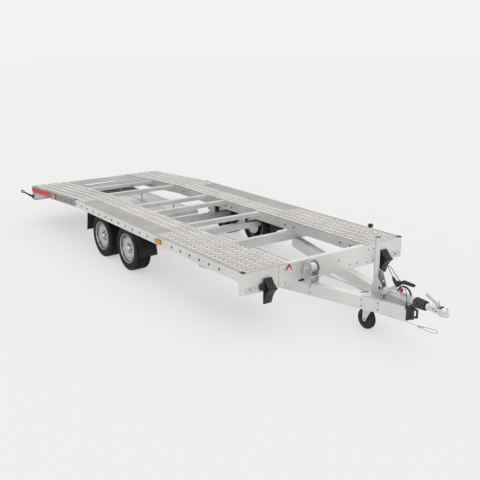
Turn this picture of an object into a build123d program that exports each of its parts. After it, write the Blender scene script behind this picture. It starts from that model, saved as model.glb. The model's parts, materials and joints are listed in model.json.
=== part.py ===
from build123d import *
import os
from math import atan2, cos, pi, radians, sin, tan

os.makedirs("parts", exist_ok=True)

# Car trailer: +X towards the coupling, +Y left, +Z up, millimetres.
# The origin is on the ground, on the centreline, half way along the trailer.
# A "place" is a distance behind the front beam's face.

# ---- deck ----
deck_width = 2066
deck_top = 590
flat_length = 3712          # level deck, from the front beam's face back to the bend
slope_length = 1623         # falling deck behind the bend
slope_drop = 90
plate = 4                   # runway plate and folded rail wall
runway_width = 522
side_rail_depth = 94
inner_rail_depth = 109
flange = 40
lip = 10                    # lower lip of a side rail, clear of the tyres
rail_hole = 16
rail_hole_pitch = 175
rail_hole_first = 365
rail_hole_drop = 51
blank_hole = 6              # the hole beside the front side lamp is left out
slot_length = 38            # slots in the inner rails
slot_height = 15
slot_places = (231, 381, 1146, 1300, 1830, 2380, 2520, 2660, 3080, 3560)
slot_drop = 65
rear_plate_length = 805     # plate between the runways at the rear end
plate_slot = 16

# ---- beams across ----
beam_depth = 215
beam_thick = 60
beam_wall = 4
cross_width = 66
cross_height = 46
cross_wall = 4
front_cross_places = (1795, 2550)
rear_cross_places = (2370, 1495, 850)      # from the rear end
drawbar_cross_place = 1215
drawbar_cross_width = 60
drawbar_cross_half = 800
outrigger_width = 40
outrigger_depth = 70
front_outriggers = (500, 1000, 1450)
rear_outriggers = (1715, 1035, 435)        # from the rear end
rear_beam_height = 200
end_plate_reach = 560
end_plate_tip = 6

# ---- stowed ramps ----
ramp_z = 375
ramp_thick = 48
ramp_half = 330
ramp_gap = 8                # between the two ramps
ramp_wall = 6
ramp_rim = 30
ramp_inset = 380            # from the rear end
ramp_clear = 12             # to the rear axle tube and around the ramps
hanger_width = 40
hanger_wall = 6             # fits between the two ramps

# ---- drawbar ----
drawbar_reach = 1040        # beam's face to the front ends of its rails
drawbar_back = 1280
rail_width = 80
rail_height = 120
drawbar_front_half = 46     # half the width over the rails at their front ends
drawbar_beam_half = 335     # and at the beam's face
end_plate_thick = 16

# ---- running gear ----
tyre_radius = 262.5
tyre_width = 190
rim_radius = 176
bead_radius = 163
tread_shoulder = 12
rim_recess = 7              # rim's edge inside the tyre's outer side
wheel_inset = 18            # outer side of a tyre inside the deck's edge
rear_axle_ahead = 714       # of the bend
axle_spacing = 676
axle_tube = 76
tube_wall = 6
stub_radius = 18
stub_length = 60
arm_length = 150
arm_rise = 62
arm_thick = 36
hub_half = 38
drum_radius = 112
back_plate = 8
tyre_clear = 20             # arm to the tyre's inner side
bracket_length = 120
bracket_wall = 8
vent_holes = 8
vent_hole = 24
vent_circle = 124

# ---- running clearances ----
fit = 0.3                   # between curved faces
gap = 5                     # between a brake drum and its back plate

# ---- mudguards ----
guard_radius = 310          # round front end
guard_shift = 60            # its centre ahead of the front axle
guard_behind = 342
guard_rise = 28
guard_thick = 5
flap_clear = 262            # bottom of the rear flap over the ground
flap_lean = 55

# ---- coupling ----
coupling_axis = 432
base_plate = 8
housing_length = 380
housing_radius = 40
housing_nose = 44           # round end ahead of the end plate
bellows_length = 124
bellows_back_radius = 43
bellows_front_radius = 40
bellows_ribs = 7
bellows_groove = 8
head_length = 223
neck_radius = 27
cup_radius = 38
ball_radius = 26
ball_back = 50              # ball's centre behind the head's nose
ball_depth = 49
head_bottom = 30            # under the coupling's axis
head_top = 32
quadrant_radius = 74
quadrant_width = 12
quadrant_drop = 18          # ring's centre under its feet

# ---- jockey wheel ----
jockey_back = 408           # post behind the drawbar's front end
jockey_tube = 24
jockey_inner = 20
slide_travel = 110
post_top = 902
jockey_wheel_radius = 100
jockey_wheel_width = 48
jockey_hub = 8
jockey_trail = 90
fork_wall = 5
fork_play = 7
inner_length = 380
collar_wall = 9
collar_height = 90
gusset_length = 104
crank_reach = 98

# ---- lamps, bands and plugs ----
lamp_overhang = 125         # marker lamp behind the rear end
front_lamp_place = 1510
rear_lamp_ahead = 885       # of the rear end
lamp_length = 104
lamp_height = 46
band_length = 715
band_height = 56
band_drop = 17
band_thick = 2
plug_height = 4
corner_plug_length = 46
corner_plug_width = 42

# ---- winch ----
winch_y = -285
winch_half = 55
winch_axis = 530
winch_ahead = 80
winch_plate_radius = 66
winch_drum_radius = 46

rear_place = flat_length + slope_length
front_place = drawbar_reach + end_plate_thick + housing_nose + bellows_length + head_length
face = (rear_place + lamp_overhang - front_place) / 2      # X of the front beam's face
half = deck_width / 2
bend = face - flat_length
rear = face - rear_place
runway_in = half - runway_width
beam_bottom = deck_top - beam_depth
beam_back = face - beam_thick
rear_beam_front = rear + beam_thick
axle_x = [bend + rear_axle_ahead + axle_spacing, bend + rear_axle_ahead]
cross_x = [face - place for place in front_cross_places] + [rear + place for place in rear_cross_places]
wheel_outer = half - wheel_inset
sides = (("right", -1), ("left", 1))


def side(y):
    "Plane looking along +Y with its origin at that Y; a positive extrusion goes to -Y."
    return Plane.XZ.offset(-y)


def deck_height(x):
    "Height of the deck, which falls behind the bend."
    return deck_top - max(0, (bend - x) * slope_drop / slope_length)


def strip(front, back, drop, depth):
    "Side view of a band that follows the deck, its top that far under it."
    places = [front] + [bend] * (front > bend > back) + [back]
    upper = [(x, deck_height(x) - drop) for x in places]
    lower = [(x, z - depth) for x, z in reversed(upper)]
    return upper + lower


def band(points, y_a, y_b, mode=Mode.ADD):
    "Side-view outline made solid between two Y values."
    with BuildSketch(side(max(y_a, y_b))) as outline:
        Polygon(*points, align=None)
    extrude(outline.sketch, amount=abs(y_a - y_b), mode=mode)


def block(x_a, x_b, y_a, y_b, z_a, z_b, mode=Mode.ADD):
    "Box between two corners."
    with BuildSketch(Plane.XY.offset(min(z_a, z_b))) as base:
        with Locations(((x_a + x_b) / 2, (y_a + y_b) / 2)):
            Rectangle(abs(x_a - x_b), abs(y_a - y_b))
    extrude(base.sketch, amount=abs(z_a - z_b), mode=mode)


def post(x, y, radius, z_a, z_b, mode=Mode.ADD):
    "Upright round bar."
    with BuildSketch(Plane.XY.offset(z_a)) as base:
        with Locations((x, y)):
            Circle(radius)
    extrude(base.sketch, amount=z_b - z_a, mode=mode)


def pin_y(x, z, radius, y_a, y_b, mode=Mode.ADD):
    "Round bar across the trailer."
    with BuildSketch(side(max(y_a, y_b))) as base:
        with Locations((x, z)):
            Circle(radius)
    extrude(base.sketch, amount=abs(y_a - y_b), mode=mode)


def pin_x(y, z, radius, x_a, x_b, mode=Mode.ADD):
    "Round bar along the trailer."
    with BuildSketch(Plane.YZ.offset(x_a)) as base:
        with Locations((y, z)):
            Circle(radius)
    extrude(base.sketch, amount=x_b - x_a, mode=mode)


def tube_y(x, z, width, height, wall, half_length):
    "Rectangular tube lying across the trailer, x at its middle, z at its bottom."
    with BuildSketch(side(half_length)) as section:
        with Locations((x, z + height / 2)):
            Rectangle(width, height)
            Rectangle(width - 2 * wall, height - 2 * wall, mode=Mode.SUBTRACT)
    extrude(section.sketch, amount=2 * half_length)


def save(piece, label):
    piece.part.label = label
    export_step(piece.part, f"parts/{label}.step")


# ---- runways and rails ----
for name, s in sides:
    with BuildPart() as runway:
        band(strip(face, rear_beam_front, 0, plate), s * runway_in, s * (half - plate))
        block(face - corner_plug_length, face + 1, s * (half - corner_plug_width), s * half,
              deck_top - plate - 1, deck_top + 1, Mode.SUBTRACT)
    save(runway, f"{name}_runway")

    with BuildPart() as rail:
        band(strip(beam_back, bend, 0, side_rail_depth), s * (half - plate), s * half)
        block(beam_back, face, s * (half - plate), s * half, deck_top - plate, deck_top)
        band(strip(beam_back, bend, plate, plate), s * (half - flange), s * half)
        band(strip(beam_back, bend, side_rail_depth - plate, plate), s * (half - lip), s * half)
        for i in range(int((flat_length - rail_hole_first) / rail_hole_pitch)):
            if i != blank_hole:
                pin_y(face - rail_hole_first - i * rail_hole_pitch, deck_top - rail_hole_drop, rail_hole / 2,
                      s * (half - 2 * plate), s * (half + plate), Mode.SUBTRACT)
    save(rail, f"{name}_side_rail")

    with BuildPart() as inner:
        band(strip(beam_back, rear_beam_front, plate, inner_rail_depth), s * runway_in, s * (runway_in + plate))
        band(strip(beam_back, rear_beam_front, plate, plate), s * runway_in, s * (runway_in + flange))
        band(strip(beam_back, rear_beam_front, inner_rail_depth, plate), s * runway_in, s * (runway_in + flange))
        with BuildSketch(side(s * runway_in + 2 * plate)):
            with Locations(*[(face - place, deck_top - slot_drop) for place in slot_places]):
                SlotOverall(slot_length, slot_height)
        extrude(amount=4 * plate, mode=Mode.SUBTRACT)
    save(inner, f"{name}_inner_rail")

with BuildPart() as rear_rails:
    for name, s in sides:
        band(strip(bend, rear_beam_front, 0, side_rail_depth), s * (half - plate), s * half)
        band(strip(bend, rear_beam_front, plate, plate), s * (half - flange), s * half)
        band(strip(bend, rear_beam_front, side_rail_depth - plate, plate), s * (half - lip), s * half)
save(rear_rails, "rear_side_rails")

plate_front = rear + rear_plate_length
with BuildPart() as rear_plate:
    band(strip(plate_front, rear_beam_front, 0, plate), -runway_in, runway_in)
    block(plate_front - 212, plate_front - 212 - plate_slot, -runway_in + 60, 60, 0, deck_top, Mode.SUBTRACT)
save(rear_plate, "rear_deck_plate")

# ---- beams across ----
with BuildPart() as front_beam:
    beam_top = deck_top - plate
    block(beam_back, face, -half, half, beam_bottom, beam_top)
    block(beam_back + beam_wall, face - beam_wall, -half + beam_wall, half - beam_wall,
          beam_bottom + beam_wall, beam_top - beam_wall, Mode.SUBTRACT)
save(front_beam, "front_beam")


def cross_bottom(x):
    "Underside of a cross-member whose top meets the runways' underside."
    return deck_height(x - cross_width / 2) - plate - cross_height


inner_bottom = deck_top - inner_rail_depth - plate
with BuildPart() as cross_members:
    for x in cross_x:
        tube_y(x, cross_bottom(x), cross_width, cross_height, cross_wall, runway_in)
save(cross_members, "cross_members")

with BuildPart() as drawbar_cross:
    tube_y(face - drawbar_cross_place, beam_bottom, drawbar_cross_width, inner_bottom - beam_bottom, cross_wall,
           drawbar_cross_half)
save(drawbar_cross, "drawbar_cross_member")

with BuildPart() as outriggers:
    for x in [face - place for place in front_outriggers] + [rear + place for place in rear_outriggers]:
        top = deck_height(x - outrigger_width / 2) - 2 * plate
        for s in (-1, 1):
            block(x - outrigger_width / 2, x + outrigger_width / 2, s * (runway_in + flange), s * (half - flange),
                  top - outrigger_depth, top)
save(outriggers, "outriggers")

# ---- rear end ----
rear_top = deck_top - slope_drop
rear_bottom = rear_top - rear_beam_height
with BuildPart() as rear_beam:
    block(rear, rear_beam_front, -half + plate, half - plate, rear_bottom, rear_top)
    block(rear + beam_wall, rear_beam_front - beam_wall, -half + 2 * plate, half - 2 * plate,
          rear_bottom + beam_wall, rear_top - beam_wall, Mode.SUBTRACT)
    block(rear - 1, rear_beam_front + 1, -ramp_half - ramp_clear, ramp_half + ramp_clear, rear_bottom - 1,
          ramp_z + ramp_thick + ramp_clear, Mode.SUBTRACT)
    end_reach = rear + end_plate_reach
    for s in (-1, 1):
        band([(rear, rear_bottom), (rear, rear_top), (rear_beam_front, deck_height(rear_beam_front)),
              (rear_beam_front, deck_height(rear_beam_front) - side_rail_depth),
              (end_reach, deck_height(end_reach) - side_rail_depth),
              (end_reach, deck_height(end_reach) - side_rail_depth - end_plate_tip)], s * (half - plate), s * half)
save(rear_beam, "rear_beam")

# ---- running gear ----
arm_y = wheel_outer - tyre_width - tyre_clear - arm_thick      # inner side of an arm
arm_out = arm_y + arm_thick
arm_lap = 4
hub_z = tyre_radius
tube_z = hub_z + arm_rise
tube_top = tube_z + axle_tube / 2
with BuildPart() as axle_tubes:
    for x in axle_x:
        middle = x + arm_length
        tube_y(middle, tube_z - axle_tube / 2, axle_tube, axle_tube, tube_wall, arm_y - arm_lap)
        for s in (-1, 1):
            inside = s * (runway_in + bracket_wall)
            ends = (middle - bracket_length / 2, middle + bracket_length / 2)
            block(*ends, inside, inside + s * bracket_wall, tube_top, inner_bottom)
            block(*ends, s * (runway_in + 1), s * (runway_in + flange - 1), inner_bottom - bracket_wall, inner_bottom)
            block(*ends, s * (runway_in - flange / 2), s * (runway_in + flange - 1), tube_top - 1,
                  tube_top + bracket_wall)
save(axle_tubes, "axle_tubes")

with BuildPart() as axle_arms:
    for x in axle_x:
        for s in (-1, 1):
            inside, outside = s * (arm_y - arm_lap), s * arm_out
            pin_y(x + arm_length, tube_z, axle_tube / 2 + arm_lap, inside, outside)
            pin_y(x, hub_z, hub_half, inside, outside)
            band([(x + arm_length, tube_z + hub_half), (x, hub_z + hub_half), (x, hub_z - hub_half),
                  (x + arm_length, tube_z - hub_half)], inside, outside)
            pin_y(x, hub_z, drum_radius, outside, outside + s * back_plate)
            pin_y(x, hub_z, stub_radius, outside, outside + s * (back_plate + stub_length))
save(axle_arms, "axle_arms")

# ---- wheels ----
wheels = [(f"{end}_{name}", x, s) for end, x in zip(("front", "rear"), axle_x) for name, s in sides]
tyre_mid = wheel_outer - tyre_width / 2
w = tyre_width / 2
seat = bead_radius - fit
r = w - rim_recess
for label, x, s in wheels:
    centre = Plane(origin=(x, s * tyre_mid, hub_z), x_dir=(0, s, 0), z_dir=(1, 0, 0))
    spin = Axis((x, 0, hub_z), (0, 1, 0))
    with BuildPart() as tyre:
        with BuildSketch(centre):
            with BuildLine():
                wall_low = (w - 2, rim_radius + 18)
                wall_high = (w, tyre_radius - 34)
                shoulder = (w - tread_shoulder, tyre_radius)
                Polyline((-r + 14, bead_radius), (-r + 6, rim_radius + 2), (-wall_low[0], wall_low[1]),
                         (-wall_high[0], wall_high[1]))
                ThreePointArc((-wall_high[0], wall_high[1]), (-w + 5, tyre_radius - 11), (-shoulder[0], shoulder[1]))
                Line((-shoulder[0], shoulder[1]), shoulder)
                ThreePointArc(shoulder, (w - 5, tyre_radius - 11), wall_high)
                Polyline(wall_high, wall_low, (r - 6, rim_radius + 2), (r - 14, bead_radius), (-r + 14, bead_radius))
            make_face()
        revolve(axis=spin)
    save(tyre, f"{label}_tyre")

    with BuildPart() as rim:
        with BuildSketch(centre):
            with BuildLine():
                Polyline((r - 14, seat), (r - 5, seat + 3), (r - 5, rim_radius), (r - 1, rim_radius),
                         (r - 1, seat - 1), (r - 12, seat - 4), (r - 40, seat - 14), (r - 50, seat - 32),
                         (r - 34, 126), (r - 28, 92), (r - 42, 64), (r - 42, 30), (r - 54, 30), (r - 54, 66),
                         (r - 42, 94), (r - 46, 124), (r - 68, seat - 34), (r - 96, seat - 22),
                         (-r + 18, seat - 5), (-r + 1, seat - 1), (-r + 1, rim_radius), (-r + 5, rim_radius),
                         (-r + 5, seat + 3), (-r + 14, seat), (r - 100, seat), (r - 84, seat - 14),
                         (r - 66, seat - 26), (r - 48, seat - 14), (r - 34, seat), close=True)
            make_face()
        revolve(axis=spin)
        for i in range(vent_holes):
            turn = radians(360 * (i + 0.5) / vent_holes)
            pin_y(x + vent_circle * cos(turn), hub_z + vent_circle * sin(turn), vent_hole / 2,
                  s * (wheel_outer - 60), s * wheel_outer, Mode.SUBTRACT)
    save(rim, f"{label}_rim")

    back = arm_out + back_plate + gap - tyre_mid
    with BuildPart() as drum:
        with BuildSketch(centre):
            with BuildLine():
                Polyline((r - 24, 0), (r - 24, 22), (r - 30, 28), (r - 54, 28), (r - 54, 60), (r - 72, 84),
                         (r - 84, drum_radius), (back, drum_radius), (back, stub_radius + fit),
                         (back + stub_length + 2, stub_radius + fit), (back + stub_length + 2, 0), close=True)
            make_face()
        revolve(axis=spin)
    save(drum, f"{label}_drum")

# ---- mudguards ----
arch_x = axle_x[0] + guard_shift
guard_back = axle_x[1] - guard_behind
guard_top = tyre_radius * 2 + guard_rise
guard_low = guard_top - guard_thick
arch_z = guard_top - guard_radius
guard_in = wheel_outer - tyre_width - guard_thick - 7
guard_out = half - lip
rail_low = deck_top - side_rail_depth
with BuildPart() as mudguards:
    for s in (-1, 1):
        block(guard_back, arch_x, s * guard_in, s * guard_out, guard_low, guard_top)
        for y, ceiling in ((guard_out, guard_top), (half - plate, rail_low)):
            with BuildSketch(side(max(s * guard_in, s * y))) as arch:
                with Locations((arch_x, arch_z)):
                    Circle(guard_radius)
                    Circle(guard_radius - guard_thick, mode=Mode.SUBTRACT)
                with Locations((arch_x + guard_radius, (arch_z + ceiling) / 2)):
                    Rectangle(2 * guard_radius, ceiling - arch_z, mode=Mode.INTERSECT)
            extrude(arch.sketch, amount=y - guard_in)
save(mudguards, "mudguards")

with BuildPart() as flaps:
    for s in (-1, 1):
        for y, ceiling in ((guard_out, guard_low), (half - plate, rail_low)):
            lean = flap_lean * (guard_low - ceiling) / (guard_low - flap_clear)
            band([(guard_back + guard_thick - lean, ceiling), (guard_back - lean, ceiling),
                  (guard_back - flap_lean, flap_clear), (guard_back + guard_thick - flap_lean, flap_clear)],
                 s * guard_in, s * y)
save(flaps, "mud_flaps")

# ---- stowed ramps ----
ramp_back = rear + ramp_inset
ramp_front = axle_x[1] + arm_length - axle_tube / 2 - ramp_clear
with BuildPart() as ramps:
    for s in (-1, 1):
        near, far = s * ramp_gap / 2, s * ramp_half
        block(ramp_back, ramp_front, near, far, ramp_z, ramp_z + ramp_thick)
        block(ramp_back + ramp_wall, ramp_front - ramp_wall, near + s * ramp_rim, far - s * ramp_rim, ramp_z - 1,
              ramp_z + ramp_thick - ramp_wall, Mode.SUBTRACT)
save(ramps, "ramps")

with BuildPart() as hangers:
    for x in cross_x:
        if ramp_back < x - hanger_width and x + hanger_width / 2 < ramp_front:
            ends = (x - hanger_width / 2, x + hanger_width / 2)
            block(*ends, -hanger_wall / 2, hanger_wall / 2, ramp_z - hanger_wall, cross_bottom(x))
            block(*ends, -ramp_half + ramp_rim, ramp_half - ramp_rim, ramp_z - hanger_wall, ramp_z)
save(hangers, "ramp_hangers")

# ---- drawbar ----
rail_slope = (drawbar_beam_half - drawbar_front_half) / drawbar_reach
across = rail_width / cos(atan2(rail_slope, 1))
rail_bottom = beam_bottom - rail_height
bar_end = face + drawbar_reach
bar_back = face - drawbar_back


def rail_y(x):
    "Outer side of the left drawbar rail."
    return drawbar_beam_half - (x - face) * rail_slope


clip_x = bar_end - 232      # clip of the breakaway cable under the right rail
clip_y = -77
clip_half = 10
cable_drop = 8
meet = face + (drawbar_beam_half - across - 1) / rail_slope
for name, s in sides:
    with BuildPart() as drawbar:
        with BuildSketch(Plane.XY.offset(rail_bottom)):
            Polygon((bar_back, s * rail_y(bar_back)), (bar_end, s * rail_y(bar_end)), (bar_end, s),
                    (meet, s), (bar_back, s * (rail_y(bar_back) - across)), align=None)
        extrude(amount=rail_height)
        if s < 0:
            block(clip_x - clip_half, clip_x + clip_half, clip_y - clip_half, clip_y + clip_half,
                  rail_bottom - 2 * cable_drop, rail_bottom + 1)
    save(drawbar, f"{name}_drawbar_rail")

gland_y = -50
loop_y = 26
with BuildPart() as end_plate:
    block(bar_end, bar_end + end_plate_thick, -drawbar_front_half, drawbar_front_half, rail_bottom,
          beam_bottom + base_plate)
    block(bar_end, bar_end + end_plate_thick, gland_y - 10, gland_y + 10, beam_bottom - 14, beam_bottom + base_plate)
    for y in (-loop_y, loop_y):
        band([(bar_end + end_plate_thick - 1, rail_bottom + 12), (bar_end + 70, rail_bottom + 22),
              (bar_end + 70, rail_bottom + 98), (bar_end + end_plate_thick - 1, rail_bottom + 108)], y - 7, y + 7)
        band([(bar_end + end_plate_thick, rail_bottom + 28), (bar_end + 56, rail_bottom + 34),
              (bar_end + 56, rail_bottom + 86), (bar_end + end_plate_thick, rail_bottom + 92)], y - 8, y + 8,
             Mode.SUBTRACT)
save(end_plate, "drawbar_end_plate")

# ---- routes of the free cables ----
base_top = beam_bottom + base_plate
cable = 6
cable_points = [(6, gland_y, 0), (6, gland_y, 34), (2, -48, 72), (-10, -42, 112), (-34, -33, 148), (-70, -26, 174),
                (-110, -20, 196), (-156, -13, 222), (-192, -7, 248), (-220, -4, 271), (-250, 1, 287),
                (-280, 12, 284), (-297, 29, 264), (-295, 43, 236), (-276, 48, 208), (-252, 46, 180)]
breakaway = 4
breakaway_points = [(-222, -77, -8), (-180, -77, -8), (-128, -69, -8.5), (-70, -59, -9.5), (-12, -49, -8),
                    (44, -43, -9), (100, -42, -8), (148, -45, -9), (190, -53, -8), (236, -60, -8.5),
                    (276, -62, -9), (308, -54, -9.5), (326, -35, -10), (324, -11, -9.5), (302, 5, -9),
                    (268, 9, -8.5), (232, 1, -8.5), (196, -14, -8), (164, -31, -8.5)]
cable_route = [Vector(bar_end + x, y, base_top + z) for x, y, z in cable_points]
breakaway_route = [Vector(bar_end + x, y, rail_bottom + z) for x, y, z in breakaway_points]
plug_radius = 15
plug_length = 72
plug_taper = 28
plug_way = (cable_route[-1] - cable_route[-2]).normalized()
plug_shoulder = cable_route[-1] + plug_way * plug_taper
plug_nose = cable_route[-1] + plug_way * plug_length

# ---- overrun coupling ----
post_x = bar_end - jockey_back
housing_back = bar_end - housing_length + collar_wall
housing_front = bar_end + end_plate_thick
nose_end = housing_front + housing_nose
web_back = post_x + gusset_length + 9
quadrant_x = bar_end - 68
pad_top = coupling_axis + housing_radius + 4
with BuildPart() as housing:
    with BuildSketch(Plane.XY.offset(beam_bottom)):
        Polygon((housing_back, -140), (housing_back, 140), (bar_end, drawbar_front_half),
                (bar_end, -drawbar_front_half), align=None)
    extrude(amount=base_plate)
    pin_x(0, coupling_axis, housing_radius, web_back + 6, housing_front)
    pin_x(0, coupling_axis, housing_radius - 3, housing_front, nose_end)
    for y in (-30, 24):
        band([(web_back, base_top - 1), (bar_end, base_top - 1), (bar_end, base_top), (housing_front, base_top),
              (housing_front, coupling_axis), (web_back, coupling_axis)], y, y + 6)
    block(quadrant_x - 90, housing_front, -8, 8, coupling_axis, pad_top)
    with BuildSketch(Plane(origin=plug_nose, z_dir=plug_way)) as socket:
        Circle(plug_radius + 3)
    extrude(socket.sketch, amount=16)
    block(plug_nose.X, plug_nose.X + 16, plug_nose.Y - 4, plug_nose.Y + 2, base_top - 1, plug_nose.Z - 5)
save(housing, "coupling_housing")

bellows_end = nose_end + bellows_length
with BuildPart() as bellows:
    with BuildSketch(Plane(origin=(0, 0, coupling_axis), x_dir=(1, 0, 0), z_dir=(0, -1, 0))):
        with BuildLine():
            outline = [(nose_end, 0), (nose_end, bellows_back_radius)]
            pitch = bellows_length / bellows_ribs
            for i in range(bellows_ribs):
                crest = bellows_back_radius + (bellows_front_radius - bellows_back_radius) * i / (bellows_ribs - 1)
                start = nose_end + i * pitch
                outline += [(start + pitch * 0.45, crest), (start + pitch * 0.75, crest - bellows_groove)]
            Polyline(*outline, (bellows_end, bellows_front_radius), (bellows_end, 0), close=True)
        make_face()
    revolve(axis=Axis((0, 0, coupling_axis), (1, 0, 0)))
save(bellows, "bellows")

nose = bellows_end + head_length
ball_x = nose - ball_back
cup_bottom = coupling_axis - head_bottom
cup_top = coupling_axis + head_top
with BuildPart() as head:
    pin_x(0, coupling_axis, neck_radius, bellows_end, bellows_end + 60)
    with BuildSketch(Plane.XY.offset(coupling_axis - 20)):
        Polygon((bellows_end + 40, -24), (bellows_end + 40, 24), (ball_x, 34), (ball_x, -34), align=None)
    extrude(amount=20 + head_top - 6)
    post(ball_x, 0, cup_radius, cup_bottom, cup_top)
    block(ball_x, nose, -24, 24, cup_bottom, cup_bottom + 26)
    post(ball_x, 0, ball_radius, cup_bottom - 1, cup_bottom + ball_depth, Mode.SUBTRACT)
save(head, "coupling_head")

handle_x = ball_x - 60
with BuildPart() as handle:
    band([(handle_x - 14, cup_top - 6), (handle_x + 14, cup_top - 6), (handle_x + 2, cup_top + 26),
          (handle_x - 100, cup_top + 74), (handle_x - 126, cup_top + 84), (handle_x - 134, cup_top + 62),
          (handle_x - 108, cup_top + 50), (handle_x - 22, cup_top + 12)], -9, 9)
    fillet(handle.edges().filter_by(Axis.Y), 4)
save(handle, "coupling_handle")

# ---- handbrake ----
lever_y = -54
lever_thick = 8
pivot_x, pivot_z = bar_end - 291, base_top + 26
top_x, top_z = bar_end - 118, coupling_axis + 106
with BuildPart() as lever:
    band([(pivot_x - 15, pivot_z + 8), (pivot_x + 12, pivot_z - 12), (top_x + 10, top_z - 10), (top_x - 12, top_z + 8)],
         lever_y, lever_y + lever_thick)
    pin_y(pivot_x, pivot_z, 18, lever_y, lever_y + lever_thick)
    block(pivot_x - 16, pivot_x + 16, lever_y, lever_y + lever_thick, base_top, pivot_z)
save(lever, "handbrake_lever")

grip_half = 15
grip_y = lever_y + lever_thick / 2
with BuildPart() as grip:
    with BuildSketch(side(grip_y + grip_half)):
        with BuildLine():
            Polyline((top_x - 12, top_z + 8), (top_x + 10, top_z - 10), (top_x + 40, top_z + 8),
                     (top_x + 58, top_z + 38), (top_x + 188, top_z + 42), (top_x + 200, top_z + 50),
                     (top_x + 196, top_z + 66), (top_x + 82, top_z + 72), (top_x + 46, top_z + 54),
                     (top_x + 4, top_z + 48), close=True)
        make_face()
    extrude(amount=2 * grip_half)
    fillet(grip.edges().filter_by(Axis.Y).group_by(Axis.X)[-1], 7)
save(grip, "handbrake_grip")

with BuildPart() as quadrant:
    with BuildSketch(side(6)):
        with Locations((quadrant_x, pad_top - quadrant_drop)):
            Circle(quadrant_radius + quadrant_width / 2)
            Circle(quadrant_radius - quadrant_width / 2, mode=Mode.SUBTRACT)
        with Locations((quadrant_x, pad_top - quadrant_radius)):
            Rectangle(3 * quadrant_radius, 2 * quadrant_radius, mode=Mode.SUBTRACT)
    extrude(amount=12)
save(quadrant, "handbrake_quadrant")

# ---- jockey wheel ----
fork_top = 2 * jockey_wheel_radius + 18
post_bottom = fork_top + slide_travel + 6
collar_top = base_top + collar_height
with BuildPart() as clamp:
    block(post_x - jockey_tube - collar_wall, housing_back, -145, 145, beam_bottom, base_top)
    post(post_x, 0, jockey_tube + collar_wall, beam_bottom, collar_top)
    gusset_x = post_x + gusset_length
    band([(post_x, base_top - 1), (gusset_x, base_top - 1), (gusset_x, collar_top + 4),
          (post_x + 30, collar_top + 84), (post_x, collar_top + 84)], -30, -24)
    band([(post_x, base_top - 1), (gusset_x, base_top - 1), (gusset_x, collar_top - 10),
          (post_x + 60, collar_top + 110), (post_x, collar_top + 130)], 26, 32)
    pin_y(post_x + 66, collar_top + 30, 9, 20, 34, Mode.SUBTRACT)
    post(post_x, 0, jockey_tube, beam_bottom - 1, collar_top + 140, Mode.SUBTRACT)
    block(housing_back, gusset_x, -40, 40, beam_bottom, base_top, Mode.SUBTRACT)
save(clamp, "jockey_clamp")

with BuildPart() as outer_tube:
    post(post_x, 0, jockey_tube, post_bottom, post_top)
    post(post_x, 0, jockey_inner + fit, post_bottom - 1, post_top - 8, Mode.SUBTRACT)
save(outer_tube, "jockey_outer_tube")

arm_z = post_top + 30
with BuildPart() as crank:
    post(post_x, 0, 9, post_top, arm_z)
    block(post_x - crank_reach, post_x + 10, -9, 9, arm_z - 1, arm_z + 8)
    post(post_x - crank_reach, 0, 10, arm_z - 1, arm_z + 40)
    post(post_x - crank_reach, 0, 25, arm_z + 38, arm_z + 70)
    fillet(crank.faces().sort_by(Axis.Z)[-1].edges(), 10)
save(crank, "jockey_crank")

with BuildPart() as inner_leg:
    post(post_x, 0, jockey_inner, fork_top, fork_top + inner_length)
save(inner_leg, "jockey_inner_tube")

wheel_x = post_x - jockey_trail
cheek = jockey_wheel_width / 2 + fork_play
with BuildPart() as fork:
    block(wheel_x - 22, post_x + jockey_tube, -cheek - fork_wall, cheek + fork_wall, fork_top - fork_wall - 3, fork_top)
    for s in (-1, 1):
        with BuildSketch(side(max(s * cheek, s * (cheek + fork_wall)))) as ear:
            Polygon((wheel_x - 22, jockey_wheel_radius), (wheel_x + 22, jockey_wheel_radius),
                    (post_x, fork_top - 1), (wheel_x - 22, fork_top - 1), align=None)
            with Locations((wheel_x, jockey_wheel_radius)):
                Circle(22)
        extrude(ear.sketch, amount=fork_wall)
    pin_y(wheel_x, jockey_wheel_radius, jockey_hub, -cheek - fork_wall - 6, cheek + fork_wall + 6)
save(fork, "jockey_fork")

with BuildPart() as jockey:
    pin_y(wheel_x, jockey_wheel_radius, jockey_wheel_radius, -jockey_wheel_width / 2, jockey_wheel_width / 2)
    fillet(jockey.edges().filter_by(GeomType.CIRCLE), 9)
    for s in (-1, 1):
        with BuildSketch(side(s * jockey_wheel_width / 2 + 8)) as dish:
            with Locations((wheel_x, jockey_wheel_radius)):
                Circle(jockey_wheel_radius - 32)
                Circle(24, mode=Mode.SUBTRACT)
        extrude(dish.sketch, amount=16, mode=Mode.SUBTRACT)
    pin_y(wheel_x, jockey_wheel_radius, jockey_hub + fit, -jockey_wheel_width, jockey_wheel_width, Mode.SUBTRACT)
save(jockey, "jockey_wheel")

# ---- wheel chocks, backs against the front beam ----
chock_inset = 278           # middle of a chock inside the deck's edge
chock_y = half - chock_inset
chock_half = 43
chock_low, chock_high = beam_bottom - 120, deck_top - 92
with BuildPart() as chocks:
    for s in (-1, 1):
        with BuildSketch(side(s * chock_y + chock_half)):
            with BuildLine():
                Polyline((face + 16, chock_low), (face, chock_low), (face, chock_high), (face + 26, chock_high),
                         (face + 108, beam_bottom + 40), (face + 98, beam_bottom + 30))
                ThreePointArc((face + 98, beam_bottom + 30), (face + 44, beam_bottom - 30), (face + 16, chock_low))
            make_face()
        extrude(amount=2 * chock_half)
save(chocks, "wheel_chocks")

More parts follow.
